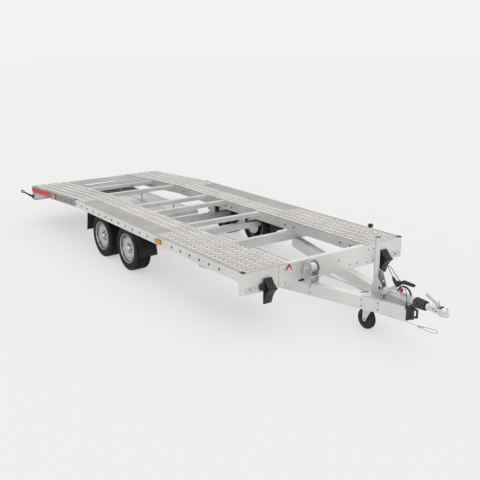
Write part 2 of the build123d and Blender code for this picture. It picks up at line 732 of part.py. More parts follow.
# ---- hand winch beside the beam, on the right rail ----
saddle_top = beam_bottom + 84
with BuildPart() as winch:
    block(face, face + 128, winch_y - 60, winch_y + 60, beam_bottom, saddle_top)
    block(face + 60, face + 129, winch_y - 28, winch_y + 28, saddle_top - 38, saddle_top - 16, Mode.SUBTRACT)
    for s in (-1, 1):
        outer, inner_y = winch_y + s * winch_half, winch_y + s * (winch_half - 5)
        pin_y(face + winch_ahead, winch_axis, winch_plate_radius, outer, inner_y)
        block(face + winch_ahead - 50, face + winch_ahead + 46, outer, inner_y, saddle_top - 1, winch_axis)
    pin_y(face + winch_ahead, winch_axis, winch_drum_radius, winch_y - winch_half, winch_y + winch_half)
    pin_y(face + winch_ahead, winch_axis, 9, winch_y - winch_half - 40, winch_y)
save(winch, "hand_winch")

# ---- lashing points, plugs, bands and lamps ----
with BuildPart() as rings:
    for s in (-1, 1):
        with BuildSketch(Plane.YZ.offset(face)) as oval:
            with Locations((s * (half - 88), beam_bottom + 46)):
                SlotOverall(128, 52)
                SlotOverall(98, 26, mode=Mode.SUBTRACT)
        extrude(oval.sketch, amount=plate)
        pin_x(s * (half - 88), beam_bottom + 46, 7, face, face + plate)
        block(face, face + plate, s * (half - 88) - 6, s * (half - 88) + 6, beam_bottom + 26, beam_bottom + 66)
save(rings, "lashing_rings")

with BuildPart() as plugs:
    for s in (-1, 1):
        block(face - corner_plug_length, face, s * (half - corner_plug_width), s * (half - plate),
              deck_top - plate, deck_top)
        block(face - corner_plug_length, face, s * (half - corner_plug_width), s * half,
              deck_top, deck_top + plug_height)
        band(strip(bend - 2, bend - 34, -plug_height, plug_height), s * (half - 30), s * half)
save(plugs, "corner_plugs")

with BuildPart() as bands:
    for s in (-1, 1):
        band(strip(rear + band_length, rear, band_drop, band_height), s * half, s * (half + band_thick))
save(bands, "reflector_bands")

lamp_out = 22
with BuildPart() as side_lamps:
    for s in (-1, 1):
        for x in (face - front_lamp_place, rear + rear_lamp_ahead):
            low = deck_height(x) - rail_hole_drop - lamp_height / 2
            block(x - lamp_length / 2, x + lamp_length / 2, s * half, s * (half + lamp_out), low, low + lamp_height)
    fillet(side_lamps.edges().filter_by(Axis.Z), 9)
save(side_lamps, "side_marker_lamps")

tail_length, tail_height, tail_thick = 240, 110, 34
with BuildPart() as tail_lamps:
    for s in (-1, 1):
        outer = half - 50
        block(rear - tail_thick, rear, s * outer, s * (outer - tail_length), rear_bottom + 45,
              rear_bottom + 45 + tail_height)
save(tail_lamps, "tail_lamps")

arm_root = (rear + 20, 350)
with BuildPart() as marker_lamps:
    for s in (-1, 1):
        block(arm_root[0] - 20, arm_root[0] + 20, s * half, s * (half + 30), arm_root[1] - 26, arm_root[1] + 26)
        tip = Vector(rear - lamp_overhang + 18, s * (half + 108), 418)
        root = Vector(arm_root[0], s * (half + 15), arm_root[1])
        with BuildSketch(Plane(origin=root, z_dir=tip - root)) as stalk:
            Circle(12)
        extrude(stalk.sketch, amount=(tip - root).length)
        with BuildSketch(Plane(origin=tip - Vector(0, 13 * s, 0), z_dir=(0, s, 0))) as lens:
            Circle(18)
        extrude(lens.sketch, amount=26)
save(marker_lamps, "marker_lamps")

# ---- brake rod under the middle ----
rod_radius = 6
rod_y, rod_z = 44, beam_bottom - 30
rod_end = housing_back + 30
with BuildPart() as rod:
    pin_x(rod_y, rod_z, rod_radius, axle_x[0] + arm_length + axle_tube / 2, rod_end)
    block(rod_end - 16, rod_end, rod_y - 10, rod_y + 10, rod_z, beam_bottom)
save(rod, "brake_rod")

# ---- cables ----
def cord(points, diameter, label, end_plane):
    "Tube along straight runs joined by tangent arcs, each as large as its two runs allow."
    corners = [Vector(p) for p in points]
    runs = [b - a for a, b in zip(corners, corners[1:])]
    radii = []
    for a, b in zip(runs, runs[1:]):
        radii.append(0.45 * min(a.length, b.length) / tan(radians(a.get_angle(b)) / 2))
    with BuildPart() as tube:
        with BuildLine() as route:
            FilletPolyline(*corners, radius=radii)
        with BuildSketch(end_plane):
            Circle(diameter / 2)
        sweep(path=route.wires()[0])
    length = route.wires()[0].length
    print(label, "length", round(length), "radii", [round(r) for r in radii],
          "volume share", round(tube.part.volume / (pi * diameter ** 2 / 4 * length), 4))
    save(tube, label)


cord(cable_route, cable, "electric_cable", Plane(origin=cable_route[0], z_dir=(0, 0, 1)))
cord(breakaway_route, breakaway, "breakaway_cable", Plane(origin=breakaway_route[0], z_dir=(1, 0, 0)))

brake_cable = 7
brake_z = rail_bottom + 70
brake_back, brake_front = face + 474, face + 498      # where it meets the right and the left rail
brake_run = 42
brake_ends = [Vector(brake_back, across - rail_y(brake_back), brake_z),
              Vector(brake_front, rail_y(brake_front) - across, brake_z)]
brake_ways = [Vector(-rail_slope, 1, 0).normalized(), Vector(-rail_slope, -1, 0).normalized()]
brake_inner = [end + way * brake_run for end, way in zip(brake_ends, brake_ways)]
brake_route = [brake_ends[0], brake_inner[0], Vector(face + 436, -32, brake_z - 6),
               Vector(face + 432, 24, brake_z - 7), brake_inner[1], brake_ends[1]]
cord(brake_route, brake_cable, "brake_cable", Plane(origin=brake_ends[0], z_dir=brake_ways[0]))

with BuildPart() as plug:
    with BuildSketch(Plane(origin=cable_route[-1], z_dir=plug_way)) as back_end:
        Circle(8)
    with BuildSketch(Plane(origin=plug_shoulder, z_dir=plug_way)) as body_end:
        Circle(plug_radius)
    loft([back_end.sketch.faces()[0], body_end.sketch.faces()[0]])
    extrude(body_end.sketch, amount=plug_length - plug_taper)
save(plug, "electric_plug")

print("face", face, "rear", rear, "coupling nose", nose)
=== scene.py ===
import json
import math

import bpy
import bmesh
from mathutils import Matrix, Vector

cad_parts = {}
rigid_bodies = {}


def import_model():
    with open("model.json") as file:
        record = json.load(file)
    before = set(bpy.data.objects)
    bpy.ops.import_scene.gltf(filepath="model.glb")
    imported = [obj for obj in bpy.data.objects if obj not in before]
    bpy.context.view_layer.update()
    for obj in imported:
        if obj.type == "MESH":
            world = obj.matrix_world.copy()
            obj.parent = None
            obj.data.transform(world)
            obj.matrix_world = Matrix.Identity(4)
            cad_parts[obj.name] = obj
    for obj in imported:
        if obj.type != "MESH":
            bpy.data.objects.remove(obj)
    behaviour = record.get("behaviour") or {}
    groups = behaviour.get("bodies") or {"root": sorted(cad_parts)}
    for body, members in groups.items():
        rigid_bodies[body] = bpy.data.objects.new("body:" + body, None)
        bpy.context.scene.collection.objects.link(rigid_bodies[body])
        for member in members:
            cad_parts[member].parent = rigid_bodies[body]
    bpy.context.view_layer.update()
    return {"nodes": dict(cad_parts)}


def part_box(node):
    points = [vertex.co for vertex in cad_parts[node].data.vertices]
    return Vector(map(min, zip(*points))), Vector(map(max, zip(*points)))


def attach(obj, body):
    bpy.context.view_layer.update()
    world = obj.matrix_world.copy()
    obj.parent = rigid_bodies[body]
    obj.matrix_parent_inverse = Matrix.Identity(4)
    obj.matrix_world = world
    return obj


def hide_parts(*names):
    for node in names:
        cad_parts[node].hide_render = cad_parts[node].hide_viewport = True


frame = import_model()
nodes = frame["nodes"]
pi = math.pi

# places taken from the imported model
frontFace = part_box("front_beam")[1].x
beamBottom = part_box("front_beam")[0].z
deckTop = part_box("right_side_rail")[1].z
deckHalf = -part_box("right_side_rail")[0].y
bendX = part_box("right_side_rail")[0].x
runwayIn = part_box("left_inner_rail")[0].y
rearX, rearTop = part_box("rear_beam")[0].x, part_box("rear_beam")[1].z
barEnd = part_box("drawbar_end_plate")[0].x
barBottom, baseTop = (corner.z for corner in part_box("drawbar_end_plate"))
slope = (deckTop - rearTop) / (bendX - rearX)


def fallAt(x):
    return max(0, bendX - x) * slope


# small helpers
def deselectAll():
    if bpy.context.object and bpy.context.object.mode != "OBJECT":
        bpy.ops.object.mode_set(mode="OBJECT")
    for o in bpy.context.view_layer.objects:
        o.select_set(False)


def pick(piece):
    deselectAll()
    piece.select_set(True)
    bpy.context.view_layer.objects.active = piece


def selectAll():
    bpy.ops.mesh.select_all(action="SELECT")


def editPiece(piece, mode="FACE", everything=False):
    pick(piece)
    bpy.ops.object.mode_set(mode="EDIT")
    bpy.ops.mesh.select_mode(type=mode)
    bpy.ops.mesh.select_all(action="SELECT" if everything else "DESELECT")


def endEdit():
    bpy.ops.object.mode_set(mode="OBJECT")


def choose(piece, kind, test):
    # kind is faces or edges
    mesh = bmesh.from_edit_mesh(piece.data)
    for part in getattr(mesh, kind):
        part.select = test(part)
    mesh.select_flush_mode()
    bmesh.update_edit_mesh(piece.data)


def extrude(push):
    bpy.ops.mesh.extrude_region_move(TRANSFORM_OT_translate={"value": push})


def scaleAbout(value, centre=(0, 0, 0)):
    bpy.ops.transform.resize(value=value, center_override=centre)


def insetFaces(piece, test, *steps, each=False):
    # steps are (margin, depth) pairs
    editPiece(piece)
    choose(piece, "faces", test)
    for margin, depth in steps:
        bpy.ops.mesh.inset(thickness=margin, depth=depth, use_individual=each)
    endEdit()


def settle(piece, name):
    piece.name = name
    pick(piece)
    bpy.ops.object.transform_apply(location=True, rotation=True, scale=True)


def cleanShell(piece):
    editPiece(piece, everything=True)
    bpy.ops.mesh.remove_doubles(threshold=0.00002)
    bpy.ops.mesh.normals_make_consistent(inside=False)
    endEdit()


def addModifier(piece, kind, **values):
    pick(piece)
    m = piece.modifiers.new(kind.lower(), kind)
    for key, value in values.items():
        setattr(m, key, value)
    bpy.ops.object.modifier_apply(modifier=m.name)


def repeatAlong(piece, count, step):
    addModifier(piece, "ARRAY", count=count, use_relative_offset=False, use_constant_offset=True,
        constant_offset_displace=step, use_merge_vertices=True, merge_threshold=0.0002)


def softenEdges(piece, width, segments=2, angle=30):
    addModifier(piece, "BEVEL", width=width, segments=segments, limit_method="ANGLE",
        angle_limit=math.radians(angle), use_clamp_overlap=True)
    return piece


# soft, in the next ones, is the bevel: width, segments and sometimes the least angle
def boxFrom(name, low, high, soft=None):
    deselectAll()
    bpy.ops.mesh.primitive_cube_add(size=1, location=[(a + b) / 2 for a, b in zip(low, high)])
    piece = bpy.context.object
    piece.scale = [abs(b - a) for a, b in zip(low, high)]
    settle(piece, name)
    return softenEdges(piece, *soft) if soft else piece


def rodFrom(name, start, end, radius, sides=16, endRadius=None, soft=None):
    deselectAll()
    a, b = Vector(start), Vector(end)
    bpy.ops.mesh.primitive_cone_add(vertices=sides, radius1=radius,
        radius2=radius if endRadius is None else endRadius, depth=(b - a).length, location=(a + b) / 2)
    piece = bpy.context.object
    piece.rotation_mode = "QUATERNION"
    piece.rotation_quaternion = (b - a).to_track_quat("Z", "Y")
    settle(piece, name)
    return softenEdges(piece, *soft) if soft else piece


def drawLine(name, points):
    # one vertex extruded from point to point, as when tracing an outline by hand
    deselectAll()
    bpy.ops.mesh.primitive_plane_add(size=0.01, location=(0, 0, 0))
    piece = bpy.context.object
    piece.name = name
    editPiece(piece, "VERT", True)
    bpy.ops.mesh.merge(type="CENTER")
    bpy.ops.transform.translate(value=points[0])
    for a, b in zip(points, points[1:]):
        extrude(Vector(b) - Vector(a))
    endEdit()
    return piece


def slabFrom(name, outline, push, soft=None):
    # a traced closed outline, filled and extruded by the vector push
    piece = drawLine(name, outline)
    editPiece(piece, "VERT", True)
    bpy.ops.mesh.edge_face_add()
    extrude(push)
    selectAll()
    bpy.ops.mesh.normals_make_consistent(inside=False)
    endEdit()
    return softenEdges(piece, *soft) if soft else piece


def sideSlab(name, corner, line, thick, soft=None):
    # line holds x and z away from the corner, and the slab grows along y
    x, y, z = corner
    return slabFrom(name, [(x + a, y, z + b) for a, b in line], (0, thick, 0), soft)


def spinLine(name, line, centre, axis, steps, closed=True):
    # line holds pairs from the centre: along the axis, and away from it
    x, y, z = centre
    spots = {"X": [(x + a, y, z + r) for a, r in line], "Y": [(x, y + a, z + r) for a, r in line],
        "Z": [(x + r, y, z + a) for a, r in line]}
    piece = drawLine(name, spots[axis])
    editPiece(piece, "VERT", True)
    if closed:
        mesh = bmesh.from_edit_mesh(piece.data)
        mesh.edges.new([v for v in mesh.verts if len(v.link_edges) == 1])
        bmesh.update_edit_mesh(piece.data)
        selectAll()
    bpy.ops.mesh.spin(steps=steps, angle=2 * pi, center=centre, axis=[float(axis == a) for a in "XYZ"])
    endEdit()
    cleanShell(piece)
    return piece


def bothWays(half):
    # a half profile of (along, away) pairs with its mirror image
    return half + [(-a, r) for a, r in reversed(half)]


def joinPieces(pieces, name):
    deselectAll()
    for p in pieces:
        p.select_set(True)
    bpy.context.view_layer.objects.active = pieces[0]
    if len(pieces) > 1:
        bpy.ops.object.join()
    piece = bpy.context.object
    piece.name = piece.data.name = name
    return piece


def copyPiece(source, matrix, name="copy"):
    piece = source.copy()
    piece.data = source.data.copy()
    piece.data.transform(matrix)
    if matrix.determinant() < 0:
        piece.data.flip_normals()
    bpy.context.scene.collection.objects.link(piece)
    piece.name = piece.data.name = name
    return piece


def stretchAt(piece, x, share):
    piece.data.transform(Matrix.Translation((x, 0, 0)) @ Matrix.Diagonal((share, 1, 1, 1)) @ Matrix.Translation((-x,
        0, 0)))


def dress(piece, material, smooth=35, node=None, body="chassis"):
    piece.data.materials.clear()
    piece.data.materials.append(material)
    pick(piece)
    bpy.ops.object.shade_smooth_by_angle(angle=math.radians(smooth))
    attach(piece, body)
    if node:
        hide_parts(node)
    return piece


def dressBoth(left, rightName, material, smooth=35, node=None):
    # the piece and its copy on the other side of the trailer
    for piece in (left, copyPiece(left, Matrix.Diagonal((1, -1, 1, 1)), rightName)):
        dress(piece, material, smooth, node)


# camera
def setCamera():
    view = {"place": (6.8485, -4.502, 2.614), "down": 0.2795, "roll": 0.00435, "turn": 0.95072, "lens": 53.1}
    camera = bpy.data.objects.new("viewCamera", bpy.data.cameras.new("viewCamera"))
    bpy.context.scene.collection.objects.link(camera)
    camera.location = view["place"]
    camera.rotation_euler = (pi / 2 - view["down"], view["roll"], view["turn"])
    camera.data.lens = view["lens"]
    camera.data.sensor_width = 36
    camera.data.clip_end = 200
    bpy.context.scene.camera = camera


setCamera()
print("camera set")


# materials: each field below is an output socket in the material's tree
def addNode(tree, kind, **sockets):
    node = tree.nodes.new("ShaderNode" + kind)
    for key, value in sockets.items():
        node.inputs[key.replace("_", " ")].default_value = value
    return node


def newMaterial(name, colour, metallic=0.0, roughness=0.5, **sockets):
    material = bpy.data.materials.new(name)
    material.use_nodes = True
    shader = material.node_tree.nodes["Principled BSDF"]
    sockets.update(Base_Color=(*colour, 1), Metallic=metallic, Roughness=roughness)
    for key, value in sockets.items():
        shader.inputs[key.replace("_", " ")].default_value = value
    return material, material.node_tree


def place(tree, stretch=(1, 1, 1), turn=(0, 0, 0)):
    mapping = addNode(tree, "Mapping", Scale=stretch, Rotation=turn)
    tree.links.new(addNode(tree, "TexCoord").outputs["Object"], mapping.inputs["Vector"])
    return mapping.outputs["Vector"]


def noiseField(tree, scale, detail, vector=None):
    noise = addNode(tree, "TexNoise", Scale=scale, Detail=detail, Roughness=0.55)
    tree.links.new(vector or place(tree), noise.inputs["Vector"])
    return noise.outputs["Fac"]


def ramp(tree, field, *stops):
    node = addNode(tree, "ValToRGB")
    ends = node.color_ramp.elements
    for element, (position, colour) in zip(ends, (stops[0], stops[-1])):
        element.position, element.color = position, (*colour, 1)
    for position, colour in stops[1:-1]:
        ends.new(position).color = (*colour, 1)
    tree.links.new(field, node.inputs["Fac"])
    return node.outputs["Color"]


def spread(tree, field, low, high, start=0.25, end=0.75):
    node = addNode(tree, "MapRange", From_Min=start, From_Max=end, To_Min=low, To_Max=high)
    tree.links.new(field, node.inputs["Value"])
    return node.outputs["Result"]


def multiply(tree, a, b):
    node = addNode(tree, "Mix", Factor=1)
    node.data_type = "RGBA"
    node.blend_type = "MULTIPLY"
    tree.links.new(a, node.inputs[6])
    tree.links.new(b, node.inputs[7])
    return node.outputs[2]


def addFields(tree, a, b, share):
    node = addNode(tree, "Math")
    node.operation = "MULTIPLY_ADD"
    node.inputs[1].default_value = share
    tree.links.new(b, node.inputs[0])
    tree.links.new(a, node.inputs[2])
    return node.outputs["Value"]


def bump(tree, field, strength, distance):
    node = addNode(tree, "Bump", Strength=strength, Distance=distance)
    tree.links.new(field, node.inputs["Height"])
    wire(tree, node.outputs["Normal"], "Normal")


def wire(tree, output, socket):
    tree.links.new(output, tree.nodes["Principled BSDF"].inputs[socket])


def rolledAluminium(name, low, high, gloss, grain=(3, 90, 90), metal=0.5):
    # extruded or rolled sheet: streaks along its length, dull cloudy patches, faint scratches
    material, tree = newMaterial(name, high, metal, gloss)
    streaks = noiseField(tree, 2.2, 5, place(tree, grain))
    clouds = noiseField(tree, 2.6, 3)
    scratches = noiseField(tree, 6, 2, place(tree, (40, 6, 40), (0, 0, 0.5)))
    tint = ramp(tree, clouds, (0.3, low), (0.5, tuple((a + b) / 2 for a, b in zip(low, high))), (0.7, high))
    lines = ramp(tree, streaks, (0.3, (0.9, 0.9, 0.9)), (0.7, (1, 1, 1)))
    wire(tree, multiply(tree, tint, lines), "Base Color")
    wire(tree, spread(tree, addFields(tree, streaks, clouds, 0.3), gloss - 0.08, gloss + 0.1), "Roughness")
    bump(tree, addFields(tree, streaks, scratches, 0.5), 0.12, 0.0006)
    return material


def zincCoat(name, low, high, gloss=0.42):
    # hot-dip galvanising: crystal spangle in slightly different greys
    material, tree = newMaterial(name, high, 0.78, gloss)
    cells = addNode(tree, "TexVoronoi", Scale=160)
    tree.links.new(place(tree), cells.inputs["Vector"])
    separate = addNode(tree, "SeparateColor")
    tree.links.new(cells.outputs["Color"], separate.inputs["Color"])
    spangle = separate.outputs["Red"]
    clouds = noiseField(tree, 9, 4)
    stain = ramp(tree, clouds, (0.3, (0.86, 0.86, 0.85)), (0.65, (1, 1, 1)))
    wire(tree, multiply(tree, ramp(tree, spangle, (0.1, low), (0.9, high)), stain), "Base Color")
    wire(tree, spread(tree, spangle, gloss - 0.03, gloss + 0.06), "Roughness")
    bump(tree, clouds, 0.1, 0.0008)
    return material


def dustyCoat(name, base, low, high, gloss, grain, dust=(7, 5, 0.35, 0.7), dull=(-0.06, 0.12), metallic=0.0,
        **sockets):
    # dust is scale, detail and the ramp's two stops; grain is scale, detail, strength and depth
    material, tree = newMaterial(name, base, metallic, gloss, **sockets)
    fine, clouds = noiseField(tree, *grain[:2]), noiseField(tree, *dust[:2])
    wire(tree, ramp(tree, clouds, (dust[2], low), (dust[3], high)), "Base Color")
    wire(tree, spread(tree, clouds, gloss + dull[0], gloss + dull[1]), "Roughness")
    bump(tree, fine, *grain[2:])
    return material


def mouldedPlastic(name, low, high, gloss, grainScale=420, depth=0.0003, shine=0.3):
    return dustyCoat(name, high, low, high, gloss, (grainScale, 2, 0.35, depth), Specular_IOR_Level=shine)


def paintedRim(name, low, high):
    return dustyCoat(name, high, low, high, 0.34, (700, 2, 0.06, 0.0003), (14, 5, 0.32, 0.62), (-0.04, 0.12), 0.35,
        Coat_Weight=0.25, Coat_Roughness=0.2)


def tyreRubber(name, low, high):
    return dustyCoat(name, (0.02, 0.02, 0.021), low, high, 0.62, (260, 3, 0.25, 0.0006), (11, 5, 0.35, 0.75),
        (-0.1, 0.12), Specular_IOR_Level=0.2)


def twoToneSheath(name, grey, red):
    # grey up to the end of the drawbar, red past it
    material = mouldedPlastic(name, grey, red, 0.35, 500)
    tree = material.node_tree
    axes = addNode(tree, "SeparateXYZ")
    tree.links.new(place(tree), axes.inputs["Vector"])
    along = spread(tree, axes.outputs["X"], 0, 1, barEnd - 0.045, barEnd - 0.005)
    wire(tree, ramp(tree, along, (0, grey), (1, red)), "Base Color")
    return material


def clearLens(name, low, high):
    material, tree = newMaterial(name, high, roughness=0.22, Specular_IOR_Level=0.35)
    ribs = addNode(tree, "TexWave", Scale=55)
    ribs.bands_direction = "X"
    tree.links.new(place(tree), ribs.inputs["Vector"])
    wire(tree, ramp(tree, ribs.outputs["Fac"], (0.2, low), (0.8, high)), "Base Color")
    bump(tree, ribs.outputs["Fac"], 0.3, 0.0012)
    return material


def bandFilm(name, low, high):
    # retro-reflective film with a fine cell pattern
    material, tree = newMaterial(name, high, roughness=0.42, Specular_IOR_Level=0.25)
    cells = addNode(tree, "TexVoronoi")
    cells.feature = "DISTANCE_TO_EDGE"
    cells.inputs["Scale"].default_value = 170
    tree.links.new(place(tree), cells.inputs["Vector"])
    wire(tree, ramp(tree, cells.outputs["Distance"], (0.02, low), (0.14, high)), "Base Color")
    bump(tree, cells.outputs["Distance"], 0.15, 0.0004)
    return material


aluminium = rolledAluminium("aluminium", (0.42, 0.42, 0.42), (0.6, 0.6, 0.59), 0.38)
railAluminium = rolledAluminium("railAluminium", (0.72, 0.71, 0.69), (0.84, 0.83, 0.81), 0.42)
treadAluminium = rolledAluminium("treadAluminium", (0.44, 0.415, 0.39), (0.6, 0.57, 0.535), 0.36, (3, 60, 60), 0.5)
# darker tread: painted shade on the slope behind the bend, and a greyer colour on the big plain faces
greyTreadSlopeShade = rolledAluminium("greyTreadSlopeShade", (0.3, 0.295, 0.275), (0.43, 0.42, 0.39), 0.34, (3, 60, 60), 0.6)
webAluminium = rolledAluminium("webAluminium", (0.56, 0.56, 0.555), (0.72, 0.72, 0.71), 0.4)
# bright stud colour: painted highlight on the studs
highlightAluminium = rolledAluminium("highlightAluminium", (0.88, 0.85, 0.8), (0.96, 0.93, 0.89), 0.3, (3, 60, 60), 0.25)
# near-black colour: painted shade on the walls of the stud holes
holeShade = rolledAluminium("holeShade", (0.05, 0.047, 0.045), (0.1, 0.095, 0.09), 0.5, (3, 60, 60), 0.3)
plateAluminium = rolledAluminium("plateAluminium", (0.27, 0.27, 0.27), (0.4, 0.4, 0.4), 0.34)
rampAluminium = rolledAluminium("rampAluminium", (0.5, 0.5, 0.51), (0.74, 0.74, 0.74), 0.3)
darkAluminium = rolledAluminium("darkAluminium", (0.22, 0.22, 0.23), (0.33, 0.33, 0.34), 0.36)
galvanised = zincCoat("galvanised", (0.58, 0.59, 0.6), (0.66, 0.67, 0.68))
brightZinc = zincCoat("brightZinc", (0.69, 0.7, 0.71), (0.75, 0.76, 0.76), 0.32)
boltZinc = zincCoat("boltZinc", (0.42, 0.42, 0.4), (0.55, 0.55, 0.53), 0.34)
castIron = mouldedPlastic("castIron", (0.035, 0.036, 0.038), (0.06, 0.062, 0.066), 0.5, 160, 0.0009)
blackPlastic = mouldedPlastic("blackPlastic", (0.012, 0.012, 0.013), (0.026, 0.026, 0.028), 0.48)
chockPlastic = mouldedPlastic("chockPlastic", (0.014, 0.014, 0.015), (0.03, 0.03, 0.032), 0.4)
blackRubber = mouldedPlastic("blackRubber", (0.012, 0.012, 0.012), (0.024, 0.024, 0.025), 0.55, 300)
# lighter rubber: painted sheen on the bellows crests
bellowsSheenRubber = mouldedPlastic("bellowsSheenRubber", (0.07, 0.07, 0.072), (0.11, 0.11, 0.112), 0.26, 200, 0.0002,
    shine=0.8)
# near-black rubber: painted shade in the bellows grooves
grooveShadeRubber = mouldedPlastic("grooveShadeRubber", (0.004, 0.004, 0.004), (0.007, 0.007, 0.007), 0.7, 200, 0.0002,
    shine=0.1)
redPlastic = mouldedPlastic("redPlastic", (0.42, 0.015, 0.015), (0.6, 0.03, 0.025), 0.32)
redSheath = mouldedPlastic("redSheath", (0.45, 0.02, 0.02), (0.62, 0.04, 0.035), 0.35, 500)
twoTone = twoToneSheath("twoToneSheath", (0.18, 0.18, 0.185), (0.55, 0.06, 0.08))
blackSheath = mouldedPlastic("blackSheath", (0.014, 0.014, 0.016), (0.028, 0.028, 0.031), 0.36, 500)
rimPaint = paintedRim("rimPaint", (0.4, 0.41, 0.42), (0.55, 0.56, 0.57))
# dark rim paint: painted shade for the groove and about the slots
rimShade = paintedRim("rimShade", (0.1, 0.1, 0.105), (0.2, 0.2, 0.205))
nutSteel = zincCoat("nutSteel", (0.16, 0.16, 0.165), (0.26, 0.26, 0.265), 0.36)
tyreBlack = tyreRubber("tyreBlack", (0.008, 0.008, 0.009), (0.019, 0.019, 0.019))
amberLens = clearLens("amberLens", (0.66, 0.2, 0.0), (0.86, 0.3, 0.0))
redLens = clearLens("redLens", (0.42, 0.008, 0.008), (0.62, 0.016, 0.014))
clearWhite = clearLens("clearWhite", (0.62, 0.63, 0.64), (0.82, 0.83, 0.84))
redFilm = bandFilm("redFilm", (0.52, 0.004, 0.016), (0.82, 0.01, 0.04))
print("materials ready")


# free cables
def cableFrom(name, node, points, diameter, material):
    curve = bpy.data.curves.new(name, "CURVE")
    curve.dimensions = "3D"
    curve.resolution_u = 12
    curve.bevel_depth = diameter / 2
    curve.bevel_resolution = 3
    curve.use_fill_caps = True
    line = curve.splines.new("NURBS")
    line.points.add(len(points) - 1)
    for p, xyz in zip(line.points, points):
        p.co = (*xyz, 1)
    line.order_u = 3
    line.use_endpoint_u = True
    piece = bpy.data.objects.new(name, curve)
    bpy.context.scene.collection.objects.link(piece)
    curve.materials.append(material)
    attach(piece, "chassis")
    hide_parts(node)
    return piece


def routeFrom(x, z, points):
    # points in millimetres from x, the middle and the height z
    return [(x + a / 1000, b / 1000, z + c / 1000) for a, b, c in points]


electricRoute = routeFrom(barEnd, baseTop, [(6, -50, 0), (6, -50, 34), (2, -48, 72), (-10, -42, 112),
    (-34, -33, 148), (-70, -26, 174), (-110, -20, 196), (-156, -13, 222), (-192, -7, 248), (-220, -4, 271),
    (-250, 1, 287), (-280, 12, 284), (-297, 29, 264), (-295, 43, 236), (-276, 48, 208), (-252, 46, 180)])
breakawayRoute = routeFrom(barEnd, barBottom, [(-222, -77, -8), (-180, -77, -8), (-128, -69, -8.5), (-70, -59, -9.5),
    (-12, -49, -8), (44, -43, -9), (100, -42, -8), (148, -45, -9), (190, -53, -8), (236, -60, -8.5), (276, -62, -9),
    (308, -54, -9.5), (326, -35, -10), (324, -11, -9.5), (302, 5, -9), (268, 9, -8.5), (232, 1, -8.5),
    (196, -14, -8), (164, -31, -8.5)])
brakeRoute = routeFrom(frontFace, 0, [(474, -120.3, 325), (462.8, -79.8, 325), (436, -32, 319), (432, 24, 318),
    (486.8, 73.1, 325), (498, 113.6, 325)])
electricCable = cableFrom("electricCable", "electric_cable", electricRoute, 0.006, blackSheath)
breakawayCable = cableFrom("breakawayCable", "breakaway_cable", breakawayRoute, 0.004, twoTone)
brakeCable = cableFrom("brakeCable", "brake_cable", brakeRoute, 0.007, blackSheath)


def makeClip():
    # crimped ferrule on the cable's end, and the ring that holds it to the cable's own run
    start, end, ringSpot = routeFrom(barEnd, barBottom, [(182, -21.5, -8.2), (157, -34.7, -8.4), (149, -43.5, -8.3)])
    ferrule = rodFrom("clipFerrule", start, end, 0.0036, 18, 0.0031, (0.0008, 2, 40))
    thick, radius = 0.0016, 0.0088
    line = [(thick * math.cos(pi * i / 5), radius + thick * math.sin(pi * i / 5)) for i in range(10)]
    return joinPieces([ferrule, spinLine("clipRing", line, ringSpot, "X", 28)], "breakawayClip")


breakawayClip = dress(makeClip(), blackPlastic)
print("cables laid")

# materials of the CAD nodes: a node takes the first row with a word that its name holds
nodeMaterials = [(treadAluminium, "runway"), (webAluminium, "inner_rail cross_member"),
    (darkAluminium, "rear_side_rails"), (railAluminium, "side_rail front_beam drawbar_rail"),
    (aluminium, "rear_beam outriggers"), (plateAluminium, "rear_deck_plate"), (rampAluminium, "ramps"),
    (castIron, "drawbar_end_plate drum"), (tyreBlack, "tyre"), (rimPaint, "rim"), (brightZinc, "coupling_head"),
    (bellowsSheenRubber, "bellows"), (galvanised, "ramp_hangers axle coupling handbrake_lever"),
    (galvanised, "jockey_clamp hand_winch lashing brake_rod"),
    (blackPlastic, "mud handbrake jockey_crank corner_plugs electric_plug"), (chockPlastic, "chocks"),
    (redFilm, "reflector"), (amberLens, "side_marker"), (blackRubber, "jockey_wheel marker_lamps"),
    (redLens, "tail_lamps"), (blackSheath, "cable"), (brightZinc, "jockey")]
for nodeName, node in nodes.items():
    for material, words in nodeMaterials:
        if any(word in nodeName for word in words.split()):
            node.data.materials.clear()
            node.data.materials.append(material)
            break


# floor and light
def mathNode(tree, operation, a, b):
    node = addNode(tree, "Math")
    node.operation = operation
    tree.links.new(a, node.inputs[0])
    if isinstance(b, float):
        node.inputs[1].default_value = b
    else:
        tree.links.new(b, node.inputs[1])
    return node.outputs["Value"]


def seenDirectly(tree):
    # 1 for rays from the camera, and for those mirrored or passed on by metal and glass
    path = addNode(tree, "LightPath").outputs
    sharp = mathNode(tree, "MAXIMUM", path["Is Camera Ray"], path["Is Glossy Ray"])
    return mathNode(tree, "MAXIMUM", sharp, path["Is Transmission Ray"])


def mixOnto(tree, share, first, second, end):
    mix = addNode(tree, "MixShader")
    for output, socket in ((share, "Fac"), (first, 1), (second, 2)):
        tree.links.new(output, mix.inputs[socket])
    tree.links.new(mix.outputs["Shader"], tree.nodes[end].inputs["Surface"])


